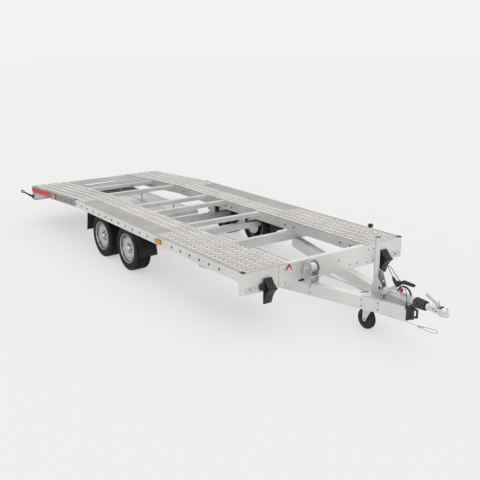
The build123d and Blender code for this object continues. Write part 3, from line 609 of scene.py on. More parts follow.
def setStage():
    stage = {"wide": 160, "under": 0.0005, "floor": 0.88, "shown": (0.885, 0.888, 0.89, 1), "softened": 0.55,
        "world": 0.62, "suns": (("keySun", (0.95, -0.5, 0.8), 0.95, 50), ("fillSun", (-0.5, 0.35, 1.0), 0.55, 70))}
    deselectAll()
    bpy.ops.mesh.primitive_plane_add(size=stage["wide"], location=(0, 0, -stage["under"]))
    floor = bpy.context.object
    floor.name = "floorSheet"
    paper, tree = newMaterial("floorPaper", (stage["floor"],) * 3, roughness=0.9)
    glow = addNode(tree, "Emission", Color=stage["shown"])
    share = mathNode(tree, "MULTIPLY", seenDirectly(tree), stage["softened"])
    mixOnto(tree, share, tree.nodes["Principled BSDF"].outputs["BSDF"], glow.outputs["Emission"], "Material Output")
    floor.data.materials.append(paper)
    world = bpy.data.worlds.new("studio")
    bpy.context.scene.world = world
    world.use_nodes = True
    tree = world.node_tree
    light = tree.nodes["Background"]
    light.inputs["Color"].default_value = (1, 1, 1, 1)
    light.inputs["Strength"].default_value = stage["world"]
    shown = addNode(tree, "Background", Color=stage["shown"])
    mixOnto(tree, seenDirectly(tree), light.outputs["Background"], shown.outputs["Background"], "World Output")
    for name, way, strength, softness in stage["suns"]:
        sun = bpy.data.objects.new(name, bpy.data.lights.new(name, "SUN"))
        bpy.context.scene.collection.objects.link(sun)
        sun.data.energy = strength
        sun.data.angle = math.radians(softness)
        sun.rotation_mode = "QUATERNION"
        sun.rotation_quaternion = Vector(way).to_track_quat("Z", "Y")
    bpy.context.scene.view_settings.view_transform = "Standard"


setStage()
print("stage set")


# runways: plate with raised, pierced studs
def plainStrip(front, back, low, high, z=deckTop):
    deselectAll()
    bpy.ops.mesh.primitive_plane_add(size=1, location=((front + back) / 2, (low + high) / 2, z))
    strip = bpy.context.object
    strip.scale = (front - back, high - low, 1)
    settle(strip, "strip")
    return strip


def makeTreadTile(pitch, width, stud, cuts=3, sides=16):
    # one square of plate with a pierced stud in its middle, top at height 0
    tile = plainStrip(pitch / 2, -pitch / 2, -width / 2, width / 2, 0)
    editPiece(tile, "EDGE", True)
    bpy.ops.mesh.delete(type="ONLY_FACE")
    selectAll()
    bpy.ops.mesh.subdivide(number_cuts=cuts)
    bpy.ops.mesh.select_all(action="DESELECT")
    bpy.ops.mesh.primitive_circle_add(vertices=sides, radius=stud["base"], fill_type="NOTHING", location=(0, 0, 0),
        rotation=(0, 0, pi / 4))
    selectAll()
    bpy.ops.mesh.bridge_edge_loops()
    choose(tile, "edges", lambda e: e.is_boundary and all(v.co.to_2d().length < stud["base"] * 1.05 for v in e.verts))
    last, lastHeight = stud["base"], 0
    for radius, height in ((stud["shoulder"], stud["height"] * 0.82), (stud["lip"], stud["height"]),
            (stud["hole"], stud["height"] * 0.8), (stud["hole"], stud["height"] * 0.2),
            (stud["under"], -stud["plate"])):
        extrude((0, 0, height - lastHeight))
        scaleAbout((radius / last, radius / last, 1))
        last, lastHeight = radius, height
    endEdit()
    return tile


tread = {"pitch": 0.0733, "row": 0.102, "rows": 5, "fullRows": 3, "firstRow": 0.031, "smooth": (1.64, 3.56),
    "lip": 0.003, "ends": (0.0115, 0.004), "atRim": 0.0005, "holeTop": 0.0046, "studFrom": 0.0028, "steep": 0.5,
    "smallFace": 0.0001, "plainFace": 0.01, "stud": {"base": 0.0222, "shoulder": 0.0185, "lip": 0.0165,
    "hole": 0.0142, "under": 0.0148, "height": 0.0075, "plate": 0.004}}


def makeRunway():
    pitch, half, stud = tread["pitch"], tread["row"] / 2, tread["stud"]
    tile = makeTreadTile(pitch, tread["row"], stud)
    start, end = frontFace - tread["ends"][0], rearX + tread["ends"][1]
    rows = [runwayIn + tread["firstRow"] + tread["row"] * i for i in range(tread["rows"])]
    total = int((start - end) / pitch)
    smoothStart, smoothEnd = (round((start - frontFace + away) / pitch) for away in tread["smooth"])
    parts = []
    for i, y in enumerate(rows):
        runs = ((0, total),) if i < tread["fullRows"] else ((0, smoothStart), (smoothEnd, total))
        for first, last in runs:
            row = copyPiece(tile, Matrix.Translation((start - (first + 0.5) * pitch, y, deckTop)))
            repeatAlong(row, last - first, (-pitch, 0, 0))
            parts.append(row)
    back, inner, outer = start - total * pitch, rows[0] - half, deckHalf - tread["lip"]
    for strip in ((start - smoothStart * pitch, start - smoothEnd * pitch, rows[2] + half, rows[4] + half),
            (start, back, rows[4] + half, outer), (frontFace, start, inner, outer), (back, rearX, inner, outer)):
        parts.append(plainStrip(*strip))
    bpy.data.objects.remove(tile)
    piece = joinPieces(parts, "treadPlateLeft")
    # trim the inner row to the rail, then bend the plate down behind the kink
    editPiece(piece, everything=True)
    bpy.ops.mesh.bisect(plane_co=(0, runwayIn, 0), plane_no=(0, 1, 0), clear_inner=True)
    selectAll()
    bpy.ops.mesh.bisect(plane_co=(bendX, 0, 0), plane_no=(1, 0, 0))
    endEdit()
    for v in piece.data.vertices:
        v.co.z -= fallAt(v.co.x)
    # fold the rim of the plate down, so that it has its thickness where it shows
    rims = ((0, frontFace), (0, rearX), (1, runwayIn), (1, outer))
    editPiece(piece, "EDGE", True)
    bpy.ops.mesh.remove_doubles(threshold=0.0002)
    choose(piece, "edges", lambda e: e.is_boundary and any(all(abs(v.co[axis] - line) < tread["atRim"]
        for v in e.verts) for axis, line in rims))
    extrude((0, 0, -stud["plate"]))
    endEdit()
    return piece


def shadeTread(piece):
    # painted highlight on the studs, painted shade in the holes, painted shade on the plate on the slope, and greyer
    # plate on the smooth strip
    for material in (highlightAluminium, holeShade, greyTreadSlopeShade):
        piece.data.materials.append(material)
    for face in piece.data.polygons:
        rise = face.center.z - deckTop + fallAt(face.center.x)
        # painted shade on the hole walls
        if abs(face.normal.z) < tread["steep"] and face.area < tread["smallFace"] and rise < tread["holeTop"]:
            face.material_index = 2
        # painted highlight on the stud tops
        elif rise > tread["studFrom"]:
            face.material_index = 1
        # painted shade on the slope behind the bend; the big plain faces are greyer too
        elif face.center.x < bendX or face.area > tread["plainFace"]:
            face.material_index = 3


leftTread = makeRunway()
rightTread = copyPiece(leftTread, Matrix.Diagonal((1, -1, 1, 1)), "treadPlateRight")
for piece, node in ((leftTread, "left_runway"), (rightTread, "right_runway")):
    shadeTread(dress(piece, treadAluminium, 40, node))
print("runways pierced")


# bolts, made once and copied
def boltsAt(name, size, spots, body="chassis", material=boltZinc):
    # spots are (place, direction of the head) pairs
    model = joinPieces([rodFrom("washer", (0, 0, 0), (0, 0, 0.2 * size), 1.2 * size, 20),
        rodFrom("hexHead", (0, 0, 0.2 * size), (0, 0, 0.85 * size), size, 6, soft=(0.09 * size, 1, 50)),
        rodFrom("threadEnd", (0, 0, 0.8 * size), (0, 0, 1.1 * size), 0.5 * size, 12, 0.42 * size)], "bolt")
    copies = [copyPiece(model, Matrix.Translation(spot) @ Vector(way).to_track_quat("Z", "Y").to_matrix().to_4x4())
        for spot, way in spots]
    bpy.data.objects.remove(model)
    return dress(joinPieces(copies, name), material, body=body)


# tyres: ribbed tread with cross cuts, rounded shoulders, bead and rim guard
tyre = {"steps": 144, "cutEvery": 3, "cutDepth": 0.005, "cutMargin": 0.0031, "cutsFrom": 0.2595,
    "cutBands": ((0.058, 0.079, 0), (0.0225, 0.0465, 2)), "profile": [(0.074, 0.1633), (0.0815, 0.1785),
    (0.0895, 0.187), (0.0935, 0.197), (0.095, 0.205), (0.0938, 0.2075), (0.095, 0.214), (0.0949, 0.229),
    (0.0925, 0.243), (0.089, 0.251), (0.0865, 0.253), (0.0865, 0.2555), (0.0835, 0.26), (0.078, 0.2612),
    (0.058, 0.2622), (0.0565, 0.2555), (0.0485, 0.2555), (0.047, 0.2623), (0.022, 0.2625), (0.0205, 0.2556),
    (0.0125, 0.2556), (0.011, 0.2625)]}
wheelPlaces = {}
for key in ("front_right", "front_left", "rear_right", "rear_left"):
    low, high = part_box(key + "_tyre")
    wheelPlaces[key] = (low + high) / 2


def stepOf(spot, steps):
    # how many steps of the spin a face lies round the axle
    return ((math.atan2(spot.z, spot.x) + 4 * pi) % (2 * pi)) / (2 * pi / steps)


def makeTyre():
    model = spinLine("tyreModel", bothWays(tyre["profile"]), (0, 0, 0), "Y", tyre["steps"])

    def inCut(face):
        spot = face.calc_center_median()
        if math.hypot(spot.x, spot.z) < tyre["cutsFrom"]:
            return False
        step = int(stepOf(spot, tyre["steps"]))
        return any(a < abs(spot.y) < b and (step + shift) % tyre["cutEvery"] == 0 for a, b, shift in tyre["cutBands"])

    insetFaces(model, inCut, (tyre["cutMargin"], -tyre["cutDepth"]), each=True)
    return model


def onWheels(model, prefix, material, smooth, part="", turned=True, lean=(0, 0)):
    # a copy on every wheel, with its outer side out; lean is the turn about the front and the rear axle
    pieces = {}
    for key, spot in wheelPlaces.items():
        matrix = Matrix.Translation(spot)
        if turned and spot.y < 0:
            matrix = matrix @ Matrix.Rotation(pi, 4, "Z")
        matrix = matrix @ Matrix.Rotation(lean["rear" in key], 4, "Y")
        piece = copyPiece(model, matrix, prefix + key)
        pieces[key] = dress(piece, material, smooth, part and key + part, "wheel_" + key)
    bpy.data.objects.remove(model)
    return pieces


onWheels(makeTyre(), "tyre_", tyreBlack, 32, "_tyre", turned=False)
print("tyres spun")

# wheel centres: cap, nuts and valve, seen from the outer side
hubTrim = {"nutCircle": 0.049, "nutBase": 0.052, "nutHigh": 0.014, "nutSize": 0.0115, "nuts": 5, "capRadius": 0.028,
    "capFront": 0.082, "capBack": 0.051, "valveCircle": 0.142, "lean": (0.7, 2.4)}


def makeHubCap():
    back, front, r = hubTrim["capBack"], hubTrim["capFront"], hubTrim["capRadius"]
    line = [(back, r + 0.004), (back + 0.004, r + 0.004), (back + 0.006, r), (front - 0.008, r - 0.0015),
        (front - 0.003, r - 0.005), (front, r - 0.014), (front + 0.0006, 0)]
    return spinLine("hubCap", line, (0, 0, 0), "Y", 40, False)


def makeNuts():
    base, size, circle = hubTrim["nutBase"], hubTrim["nutSize"], hubTrim["nutCircle"]
    nuts = []
    for i in range(hubTrim["nuts"]):
        angle = 2 * pi * (i + 0.25) / hubTrim["nuts"]
        x, z = circle * math.cos(angle), circle * math.sin(angle)
        nuts.append(rodFrom("wheelNut", (x, base, z), (x, base + hubTrim["nutHigh"], z), size, 6, size * 0.82,
            (0.0012, 1, 40)))
    return joinPieces(nuts, "wheelNuts")


valveModel = rodFrom("valveModel", (0, 0.052, hubTrim["valveCircle"] + 0.004),
    (0, 0.079, hubTrim["valveCircle"] - 0.006), 0.0046, 12, 0.0034, (0.0008, 1, 40))
for model, prefix, material, slotName in ((makeHubCap(), "hubCap_", brightZinc, "rim_steel"),
        (makeNuts(), "wheelNuts_", nutSteel, "rim_steel"), (valveModel, "valve_", blackRubber, "black_rubber")):
    onWheels(model, prefix, material, 30, lean=hubTrim["lean"])
print("wheel centres trimmed")

# bellows between the housing and the coupling head
axisZ = 0.432
bellows = {"start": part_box("bellows")[0].x, "end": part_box("bellows")[1].x, "ribs": 6, "cuff": 0.006, "back": 0.0495,
    "front": 0.0435, "groove": 0.0165, "shaded": 0.3, "wave": ((0.1, 0.9), (0.2, 0.62), (0.3, 0.25), (0.4, 0.05),
    (0.5, 0), (0.6, 0.05), (0.7, 0.25), (0.8, 0.62), (0.9, 0.9), (1, 1))}


def crestAt(share):
    return bellows["back"] + (bellows["front"] - bellows["back"]) * share


def makeBellows():
    start, end, ribs, cuff = bellows["start"], bellows["end"], bellows["ribs"], bellows["cuff"]
    pitch = (end - start - 2 * cuff) / ribs
    line = [(start, 0.028), (start, 0.0395), (start + cuff, 0.0395)]
    for i in range(ribs):
        x, crest = start + cuff + i * pitch, crestAt(i / (ribs - 1))
        line += [(x + share * pitch, crest - drop * bellows["groove"]) for share, drop in bellows["wave"]]
    line += [(end - cuff, 0.0365), (end, 0.0365), (end, 0.0275)]
    return spinLine("bellowsSleeve", line, (0, 0, axisZ), "X", 56)


sleeve = dress(makeBellows(), bellowsSheenRubber, 48, "bellows")
# the grooves get painted shade, and the crests keep the lighter rubber with its painted sheen
sleeve.data.materials.append(grooveShadeRubber)
for face in sleeve.data.polygons:
    reach = math.hypot(face.center.y, face.center.z - axisZ)
    crest = crestAt((face.center.x - bellows["start"]) / (bellows["end"] - bellows["start"]))
    face.material_index = int(reach < crest - bellows["shaded"] * bellows["groove"])
bands = []
for x, r in ((bellows["start"] + 0.003, 0.0405), (bellows["end"] - 0.004, 0.0378)):
    bands.append(spinLine("tieBand", bothWays([(-0.0025, r - 0.002), (-0.0025, r + 0.0012)]), (x, 0, axisZ), "X", 48))
    bands.append(boxFrom("tieBuckle", (x - 0.0032, -0.004, axisZ + r), (x + 0.0032, 0.004, axisZ + r + 0.005),
        (0.001, 1)))
dress(joinPieces(bands, "bellowsTies"), blackPlastic)

# coupling head: round neck, flat-sided body, cup with its socket, nose and side screws
head = {"start": bellows["end"], "ballX": 3.4035, "nose": 3.4535, "top": 0.464, "bottom": 0.402}


def bothSides(side):
    # an outline from its half on the left, right side first
    return [(x, -y, z) for x, y, z in side] + side[::-1]


def makeHead():
    x, ball, nose, low = head["start"], head["ballX"], head["nose"], head["bottom"]
    neck = spinLine("neck", [(0, 0), (0, 0.0295), (0.004, 0.031), (0.016, 0.031), (0.019, 0.0272), (0.052, 0.0268),
        (0.062, 0.022), (0.064, 0)], (x, 0, axisZ), "X", 48, False)
    body = slabFrom("headBody", bothSides([(x + 0.036, 0.0235, axisZ - 0.02), (x + 0.07, 0.0275, axisZ - 0.021),
        (ball - 0.03, 0.033, axisZ - 0.024), (ball, 0.0355, axisZ - 0.025)]), (0, 0, 0.047), (0.006, 3))
    cup = spinLine("cup", [(0.4705, 0), (0.4695, 0.01), (0.466, 0.019), (0.4605, 0.0255), (0.4598, 0.028),
        (0.4628, 0.0305), (0.4645, 0.0335), (0.4625, 0.0365), (0.458, 0.038), (low + 0.004, 0.038), (low, 0.0365),
        (low, 0.0285), (low + 0.003, 0.026), (0.43, 0.026), (0.443, 0.0225), (0.4495, 0.012), (0.451, 0)],
        (ball, 0, 0), "Z", 56, False)
    lip = slabFrom("noseLip", bothSides([(ball + 0.024, 0.027, low), (nose - 0.008, 0.024, low),
        (nose, 0.014, low)]), (0, 0, 0.026), (0.004, 2))
    return joinPieces([neck, body, cup, lip], "couplingHeadCast")


def makeHeadTrim():
    x, ball = head["start"] + 0.115, head["ballX"]
    # dark discs in the side holes: painted shade of the holes
    sideHoleShades = [rodFrom("sideHole", (x, s * 0.02, 0.431), (x, s * 0.0335, 0.431), 0.0062, 20) for s in (-1, 1)]
    bar = rodFrom("catchBar", (ball - 0.0215, -0.026, 0.47), (ball - 0.0215, 0.02, 0.47), 0.0068, 20,
        soft=(0.0015, 2))
    # dark ring in the cup's groove: painted shade in the groove
    groove = spinLine("cupGroove", [(0.4585, 0.0268), (0.4612, 0.0272), (0.4622, 0.0298), (0.4585, 0.0298)],
        (ball, 0, 0), "Z", 56)
    blade = sideSlab("catchBlade", (ball, -0.0035, 0), [(-0.0495, 0.458), (-0.0325, 0.458), (-0.0375, 0.482),
        (-0.0525, 0.518), (-0.059, 0.52), (-0.0625, 0.514), (-0.0505, 0.48)], 0.007, (0.0015, 2))
    return joinPieces(sideHoleShades + [bar, groove], "headDarkParts"), blade


dress(makeHead(), brightZinc, 40, "coupling_head")
headTrim, catchBlade = makeHeadTrim()
dress(headTrim, castIron)
dress(catchBlade, galvanised)
boltsAt("headBolts", 0.0085, [((head["start"] + 0.088, s * 0.0305, 0.446), (0.08, s, 0)) for s in (-1, 1)])

# coupling handle, a bent round bar
grab = {"x": head["ballX"] - 0.06, "half": 0.009, "line": [(-0.013, -0.006), (0.013, -0.006), (0.009, 0.014),
    (-0.002, 0.026), (-0.05, 0.05), (-0.1, 0.074), (-0.124, 0.083), (-0.133, 0.078), (-0.134, 0.067), (-0.128, 0.06),
    (-0.108, 0.051), (-0.06, 0.029), (-0.022, 0.012)]}
handle = sideSlab("handleBar", (grab["x"], -grab["half"], head["top"]), grab["line"], 2 * grab["half"],
    (0.0068, 4, 40))
dress(handle, galvanised, 50, "coupling_handle")
print("coupling dressed")

# handbrake grip, release knob and pivot bolt
lever = {"x": 2.9285, "z": 0.538, "y": -0.05, "half": 0.015, "pivot": (2.7555, -0.054, 0.409),
    "line": [(-0.012, 0.008), (0.01, -0.01), (0.028, 0), (0.04, 0.01), (0.05, 0.026), (0.06, 0.0375),
    (0.075, 0.0405), (0.09, 0.0385), (0.105, 0.0425), (0.12, 0.039), (0.135, 0.043), (0.15, 0.0395), (0.165, 0.0435),
    (0.18, 0.0405), (0.192, 0.0435), (0.2, 0.051), (0.2, 0.058), (0.194, 0.066), (0.15, 0.0685), (0.082, 0.072),
    (0.062, 0.064), (0.046, 0.054), (0.024, 0.053), (0.004, 0.048)]}
knob = {"x": 2.9705, "y": -0.03, "z": 0.509, "radius": 0.0165, "stemLow": 0.45, "steps": 12}


def makeKnob():
    x, y, z, r, steps = knob["x"], knob["y"], knob["z"], knob["radius"], knob["steps"]
    line = [(r * math.cos(pi * i / steps), r * math.sin(pi * i / steps)) for i in range(steps + 1)]
    ball = spinLine("knobBall", line, (x, y, z), "Z", 32, False)
    collar = rodFrom("knobCollar", (x, y, z - 0.021), (x, y, z - 0.012), 0.011, 24, 0.0125, (0.001, 2))
    stem = rodFrom("knobStem", (x, y, knob["stemLow"]), (x, y, z - 0.02), 0.0055, 16, soft=(0.001, 1))
    return joinPieces([ball, collar], "releaseKnob"), stem


grip = sideSlab("brakeGrip", (lever["x"], lever["y"] - lever["half"], lever["z"]), lever["line"], 2 * lever["half"],
    (0.0075, 4, 60))
dress(grip, blackPlastic, 50, "handbrake_grip")
redKnob, knobStem = makeKnob()
dress(redKnob, redPlastic, 50)
dress(knobStem, boltZinc)
boltsAt("leverPivotBolt", 0.0135, [(lever["pivot"], (0, -1, 0))])

# jockey wheel crank: shaft, arm and turned knob, with the tube's cap
crank = {"x": 2.6385, "reach": 0.098, "top": 0.902}


def makeCrank():
    x, z, far = crank["x"], crank["top"], crank["x"] - crank["reach"]
    shaft = rodFrom("crankShaft", (x, 0, z - 0.002), (x, 0, z + 0.03), 0.009, 20)
    capNut = rodFrom("crankNut", (x, 0, z + 0.037), (x, 0, z + 0.046), 0.0095, 6, soft=(0.001, 1, 40))
    outline = [(x + 0.01, -0.007), (x + 0.013, 0), (x + 0.01, 0.007), (far + 0.004, 0.0085), (far - 0.008, 0.0055),
        (far - 0.0105, 0), (far - 0.008, -0.0055), (far + 0.004, -0.0085)]
    arm = slabFrom("crankArm", [(a, b, z + 0.03) for a, b in outline], (0, 0, 0.008), (0.0015, 2))
    topCap = spinLine("tubeCap", [(0, 0), (0, 0.0255), (-0.012, 0.0255), (-0.012, 0.0243)], (x, 0, z), "Z", 40, False)
    pin = rodFrom("knobPin", (far, 0, z + 0.036), (far, 0, z + 0.075), 0.0065, 16)
    turned = spinLine("crankKnob", [(0.066, 0), (0.066, 0.012), (0.069, 0.0165), (0.0745, 0.02), (0.0815, 0.0245),
        (0.088, 0.025), (0.095, 0.0225), (0.0992, 0.016), (0.1, 0.006), (0.1, 0)], (far, 0, z), "Z", 36, False)
    return joinPieces([shaft, capNut, arm, topCap, pin], "crankArm"), turned


crankArm, crankKnob = makeCrank()
dress(crankArm, brightZinc, node="jockey_crank")
dress(crankKnob, blackPlastic, 50, "jockey_crank")

# jockey wheel: rubber tyre on a ribbed hub
jockey = {"x": 2.5485, "z": 0.1, "half": 0.024, "ribs": 6}


def makeJockeyWheel():
    centre, w = (jockey["x"], 0, jockey["z"]), jockey["half"]
    tyreLine = [(w - 0.001, 0.07), (w - 0.0002, 0.078), (w, 0.087), (w - 0.003, 0.094), (w - 0.008, 0.0985),
        (w - 0.014, 0.1)]
    hubLine = [(w - 0.0015, 0.07), (w - 0.002, 0.064), (w - 0.006, 0.0615), (w - 0.0165, 0.06), (w - 0.0165, 0.027),
        (w - 0.004, 0.0235), (w - 0.001, 0.021), (w - 0.001, 0.0105), (w - 0.003, 0.0084)]
    solid, hub = (spinLine(name, bothWays(line), centre, "Y", 64)
        for name, line in (("jockeyTyre", tyreLine), ("jockeyHub", hubLine)))
    rib = boxFrom("hubRib", (0.022, -w + 0.005, -0.0025), (0.063, w - 0.005, 0.0025), (0.0008, 1))
    ribs = [copyPiece(rib, Matrix.Translation(centre) @ Matrix.Rotation(2 * pi * i / jockey["ribs"], 4, "Y"))
        for i in range(jockey["ribs"])]
    bpy.data.objects.remove(rib)
    return solid, joinPieces([hub] + ribs, "jockeyHub")


jockeyTyre, jockeyHub = makeJockeyWheel()
dress(jockeyTyre, blackRubber, 45, "jockey_wheel", "jockey_wheel")
dress(jockeyHub, castIron, 35, "jockey_wheel", "jockey_wheel")
boltsAt("jockeyAxleBolts", 0.0095, [((jockey["x"], s * 0.036, jockey["z"]), (0, s, 0)) for s in (-1, 1)],
    "jockey_fork")
print("jockey wheel dressed")

# rims: flange, bead seat groove and dished disc with pressed slots
rim = {"steps": 96, "slots": 8, "slotFaces": 3, "slotInner": 0.112, "slotOuter": 0.128, "slotFront": 0.06,
    "slotDepth": 0.009, "profile": [(0.0885, 0.1755), (0.0905, 0.1748), (0.0905, 0.1715), (0.088, 0.1695),
    (0.083, 0.1685), (0.0785, 0.1665), (0.0775, 0.163), (0.0795, 0.16), (0.0835, 0.1585), (0.0845, 0.156),
    (0.082, 0.153), (0.066, 0.1515), (0.0585, 0.149), (0.0555, 0.144), (0.0565, 0.137), (0.0625, 0.128),
    (0.067, 0.1125), (0.0665, 0.099), (0.062, 0.083), (0.055, 0.072), (0.0515, 0.066), (0.0515, 0.036),
    (0.048, 0.034), (0.048, 0)], "shaded": ((0.1515, 0.1685, 0.0845), (0.106, 0.131, 0.0575)),
    "barrel": ((-0.003, 1), (-0.009, 0.955), (-0.155, 1), (-0.004, 1.047), (0, 0.9), (0.1, 1))}


def makeRim():
    model = spinLine("rimModel", rim["profile"], (0, 0, 0), "Y", rim["steps"], False)

    def inSlot(face):
        spot = face.calc_center_median()
        if not rim["slotInner"] < math.hypot(spot.x, spot.z) < rim["slotOuter"] or spot.y < rim["slotFront"]:
            return False
        return int(stepOf(spot, rim["steps"]) + 0.01) % (rim["steps"] // rim["slots"]) < rim["slotFaces"]

    insetFaces(model, inSlot, (0.0022, 0), (0.0008, -rim["slotDepth"]))
    # the outer faces only are made; the barrel closes them behind
    editPiece(model, "EDGE")
    choose(model, "edges", lambda e: e.is_boundary)
    for shift, share in rim["barrel"]:
        extrude((0, shift, 0))
        scaleAbout((share, 1, share))
    endEdit()
    cleanShell(model)
    return model


for key, piece in onWheels(makeRim(), "rim_", rimPaint, 28, "_rim").items():
    # painted shade in the groove and about the slots
    piece.data.materials.append(rimShade)
    for face in piece.data.polygons:
        away = face.center - wheelPlaces[key]
        radius, depth = math.hypot(away.x, away.z), abs(away.y)
        face.material_index = int(any(low < radius < high and depth < back for low, high, back in rim["shaded"]))
print("rims spun")

# wheel chocks, hollow-sided
chock = {"y": 0.755, "half": 0.043, "wall": 0.01, "hollow": 0.02,
    "line": [(0, 0.255), (0, 0.498), (0.008, 0.501), (0.022, 0.498), (0.058, 0.453), (0.083, 0.431), (0.106, 0.418),
    (0.109, 0.411), (0.101, 0.404), (0.083, 0.388), (0.065, 0.366), (0.05, 0.34), (0.036, 0.31), (0.026, 0.28),
    (0.018, 0.255)], "ribs": ((0.31, 0.02), (0.36, 0.045), (0.41, 0.06), (0.45, 0.06))}


def makeChock():
    x, y, half = frontFace, chock["y"], chock["half"]
    model = sideSlab("chockModel", (x, y - half, 0), chock["line"], 2 * half)
    insetFaces(model, lambda f: abs(f.normal.y) > 0.9, (chock["wall"], 0), (0.002, -chock["hollow"]), each=True)
    parts = [softenEdges(model, 0.0018, 2, 40)]
    for z, reach in chock["ribs"]:
        parts += [boxFrom("chockRib", (x + 0.008, y + s * 0.02, z - 0.0025),
            (x + reach, y + s * (half - 0.004), z + 0.0025), (0.0008, 1)) for s in (-1, 1)]
    holder = boxFrom("chockHolder", (x, y + half - 0.004, 0.385), (x + 0.03, y + half + 0.05, 0.468))
    editPiece(holder)
    choose(holder, "faces", lambda f: f.normal.y > 0.9)
    scaleAbout((0.5, 1, 0.55), (x, 0, 0.425))
    endEdit()
    return joinPieces(parts + [softenEdges(holder, 0.005, 3)], "chockLeft")


dressBoth(makeChock(), "chockRight", chockPlastic, node="wheel_chocks")

# hand winch: saddle, side plates, drum of webbing and folded crank
winch = {"x": frontFace + 0.08, "y": -0.285, "z": 0.53, "half": 0.055, "plate": 0.066, "webbing": 0.044,
    "saddleTop": 0.459, "armOut": 0.095, "gripZ": 0.428}


def makeWinch():
    x, y, z, w, r = winch["x"], winch["y"], winch["z"], winch["half"], winch["plate"]
    saddle = boxFrom("saddle", (frontFace, y - 0.06, beamBottom), (frontFace + 0.128, y + 0.06, winch["saddleTop"]))
    insetFaces(saddle, lambda f: f.normal.x > 0.9, (0.012, 0), (0.002, -0.05))
    parts = [softenEdges(saddle, 0.004, 2)]
    foot = winch["saddleTop"] - 0.03 - z
    for s in (-1, 1):
        side = y + s * w
        parts.append(sideSlab("winchCheek", (x, side, z), [(-0.05, foot), (0.046, foot), (0.046, -0.01),
            (0.03, 0.03), (0, 0.045), (-0.03, 0.03), (-0.05, -0.01)], -s * 0.004, (0.0012, 2)))
        flange = [(0.006, 0), (0.006, r - 0.004), (0.009, r), (0.012, r - 0.002), (0.009, r - 0.008), (0.009, 0)]
        parts.append(spinLine("drumFlange", [(-s * a, b) for a, b in flange], (x, side, z), "Y", 48, False))
    parts.append(rodFrom("winchShaft", (x, y - w - 0.04, z), (x, y + w + 0.008, z), 0.009, 20, soft=(0.001, 2)))
    return joinPieces(parts, "winchFrame")


def makeWebbing():
    w, r = winch["half"], winch["webbing"]
    line = [(0.012 - w, 0)] + [(0.012 - w + 0.0013 * i, r - 0.006 * (1 - i % 2)) for i in range(7)]
    line += [(w - 0.0208 + 0.0013 * i, r - 0.006 * (i % 2)) for i in range(7)] + [(w - 0.012, 0)]
    return spinLine("webbingRoll", line, (winch["x"], winch["y"], winch["z"]), "Y", 48, False)


dress(makeWinch(), galvanised, node="hand_winch")
dress(makeWebbing(), brightZinc)
armY = winch["y"] - winch["armOut"]
arm = sideSlab("winchArm", (winch["x"], armY, 0), [(-0.012, 0.522), (0.012, 0.522), (0.01, 0.42), (-0.01, 0.42)],
    0.005, (0.0015, 2))
dress(arm, brightZinc)
winchGrip = spinLine("winchGrip", [(0, 0), (0, 0.009), (-0.004, 0.011), (-0.012, 0.0095), (-0.03, 0.011),
    (-0.05, 0.0105), (-0.058, 0.008), (-0.06, 0)], (winch["x"], armY, winch["gripZ"]), "Y", 28, False)
dress(winchGrip, blackPlastic, 50)
print("winch dressed")

# lashing rings: rounded ovals with a bolt through the middle
lashing = {"y": 0.945, "z": 0.421, "length": 0.128, "width": 0.052, "wire": 0.013, "boltOut": 0.008}


def makeLashing():
    y, z, radius = lashing["y"], lashing["z"], lashing["width"] / 2
    straight, inner = lashing["length"] / 2 - radius, radius - lashing["wire"]
    ring = spinLine("lashingRing", [(0.0005, inner), (0.003, inner), (0.006, radius - 0.009),
        (0.006, radius - 0.004), (0.003, radius), (0.0005, radius)], (frontFace, 0, 0), "X", 36)
    for v in ring.data.vertices:
        v.co.y += straight if v.co.y > 0.0001 else -straight if v.co.y < -0.0001 else 0
    ring.data.transform(Matrix.Translation((0, y, z)))
    keeper = boxFrom("ringKeeper", (frontFace, y - 0.011, z - 0.023), (frontFace + 0.008, y + 0.011, z + 0.023),
        (0.002, 2))
    return joinPieces([ring, keeper], "lashingLeft")


dressBoth(makeLashing(), "lashingRight", galvanised, 45, "lashing_rings")
boltsAt("lashingBolts", 0.0075, [((frontFace + lashing["boltOut"], s * lashing["y"], lashing["z"]), (1, 0, 0))
    for s in (-1, 1)])

# side marker lamps: black foot and domed amber lens
sideLamp = {"places": (frontFace - 1.51, rearX + 0.885), "length": 0.112, "height": 0.054, "foot": 0.006,
    "out": 0.024, "drop": 0.051}


def makeSideLamps():
    feet, lenses = [], []
    halfHeight = sideLamp["height"] / 2
    long, high = sideLamp["length"] * 0.42, halfHeight * 0.9
    for x in sideLamp["places"]:
        z = deckTop - fallAt(x) - sideLamp["drop"]
        feet.append(boxFrom("lampFoot", (x - long, deckHalf, z - high),
            (x + long, deckHalf + sideLamp["foot"], z + high), (0.003, 2)))
        # oval lens: a tapered disc, rounded and drawn out along the rail
        lens = rodFrom("lampLens", (x, deckHalf + 0.003, z), (x, deckHalf + sideLamp["out"], z), halfHeight, 40,
            halfHeight * 0.86, (0.006, 4, 40))
        stretchAt(lens, x, sideLamp["length"] / sideLamp["height"])
        lenses.append(lens)
    return joinPieces(feet, "lampFeetLeft"), joinPieces(lenses, "lampLensesLeft")


lampFeet, lampLenses = makeSideLamps()
dressBoth(lampFeet, "lampFeetRight", blackPlastic)
dressBoth(lampLenses, "lampLensesRight", amberLens, 50, "side_marker_lamps")

# outrigger lamps on rubber arms, white forwards and red backwards
ringLamp = {"tip": (rearX - 0.107, 1.141, 0.418), "root": (rearX + 0.02, 1.033, 0.35), "radius": 0.0235}


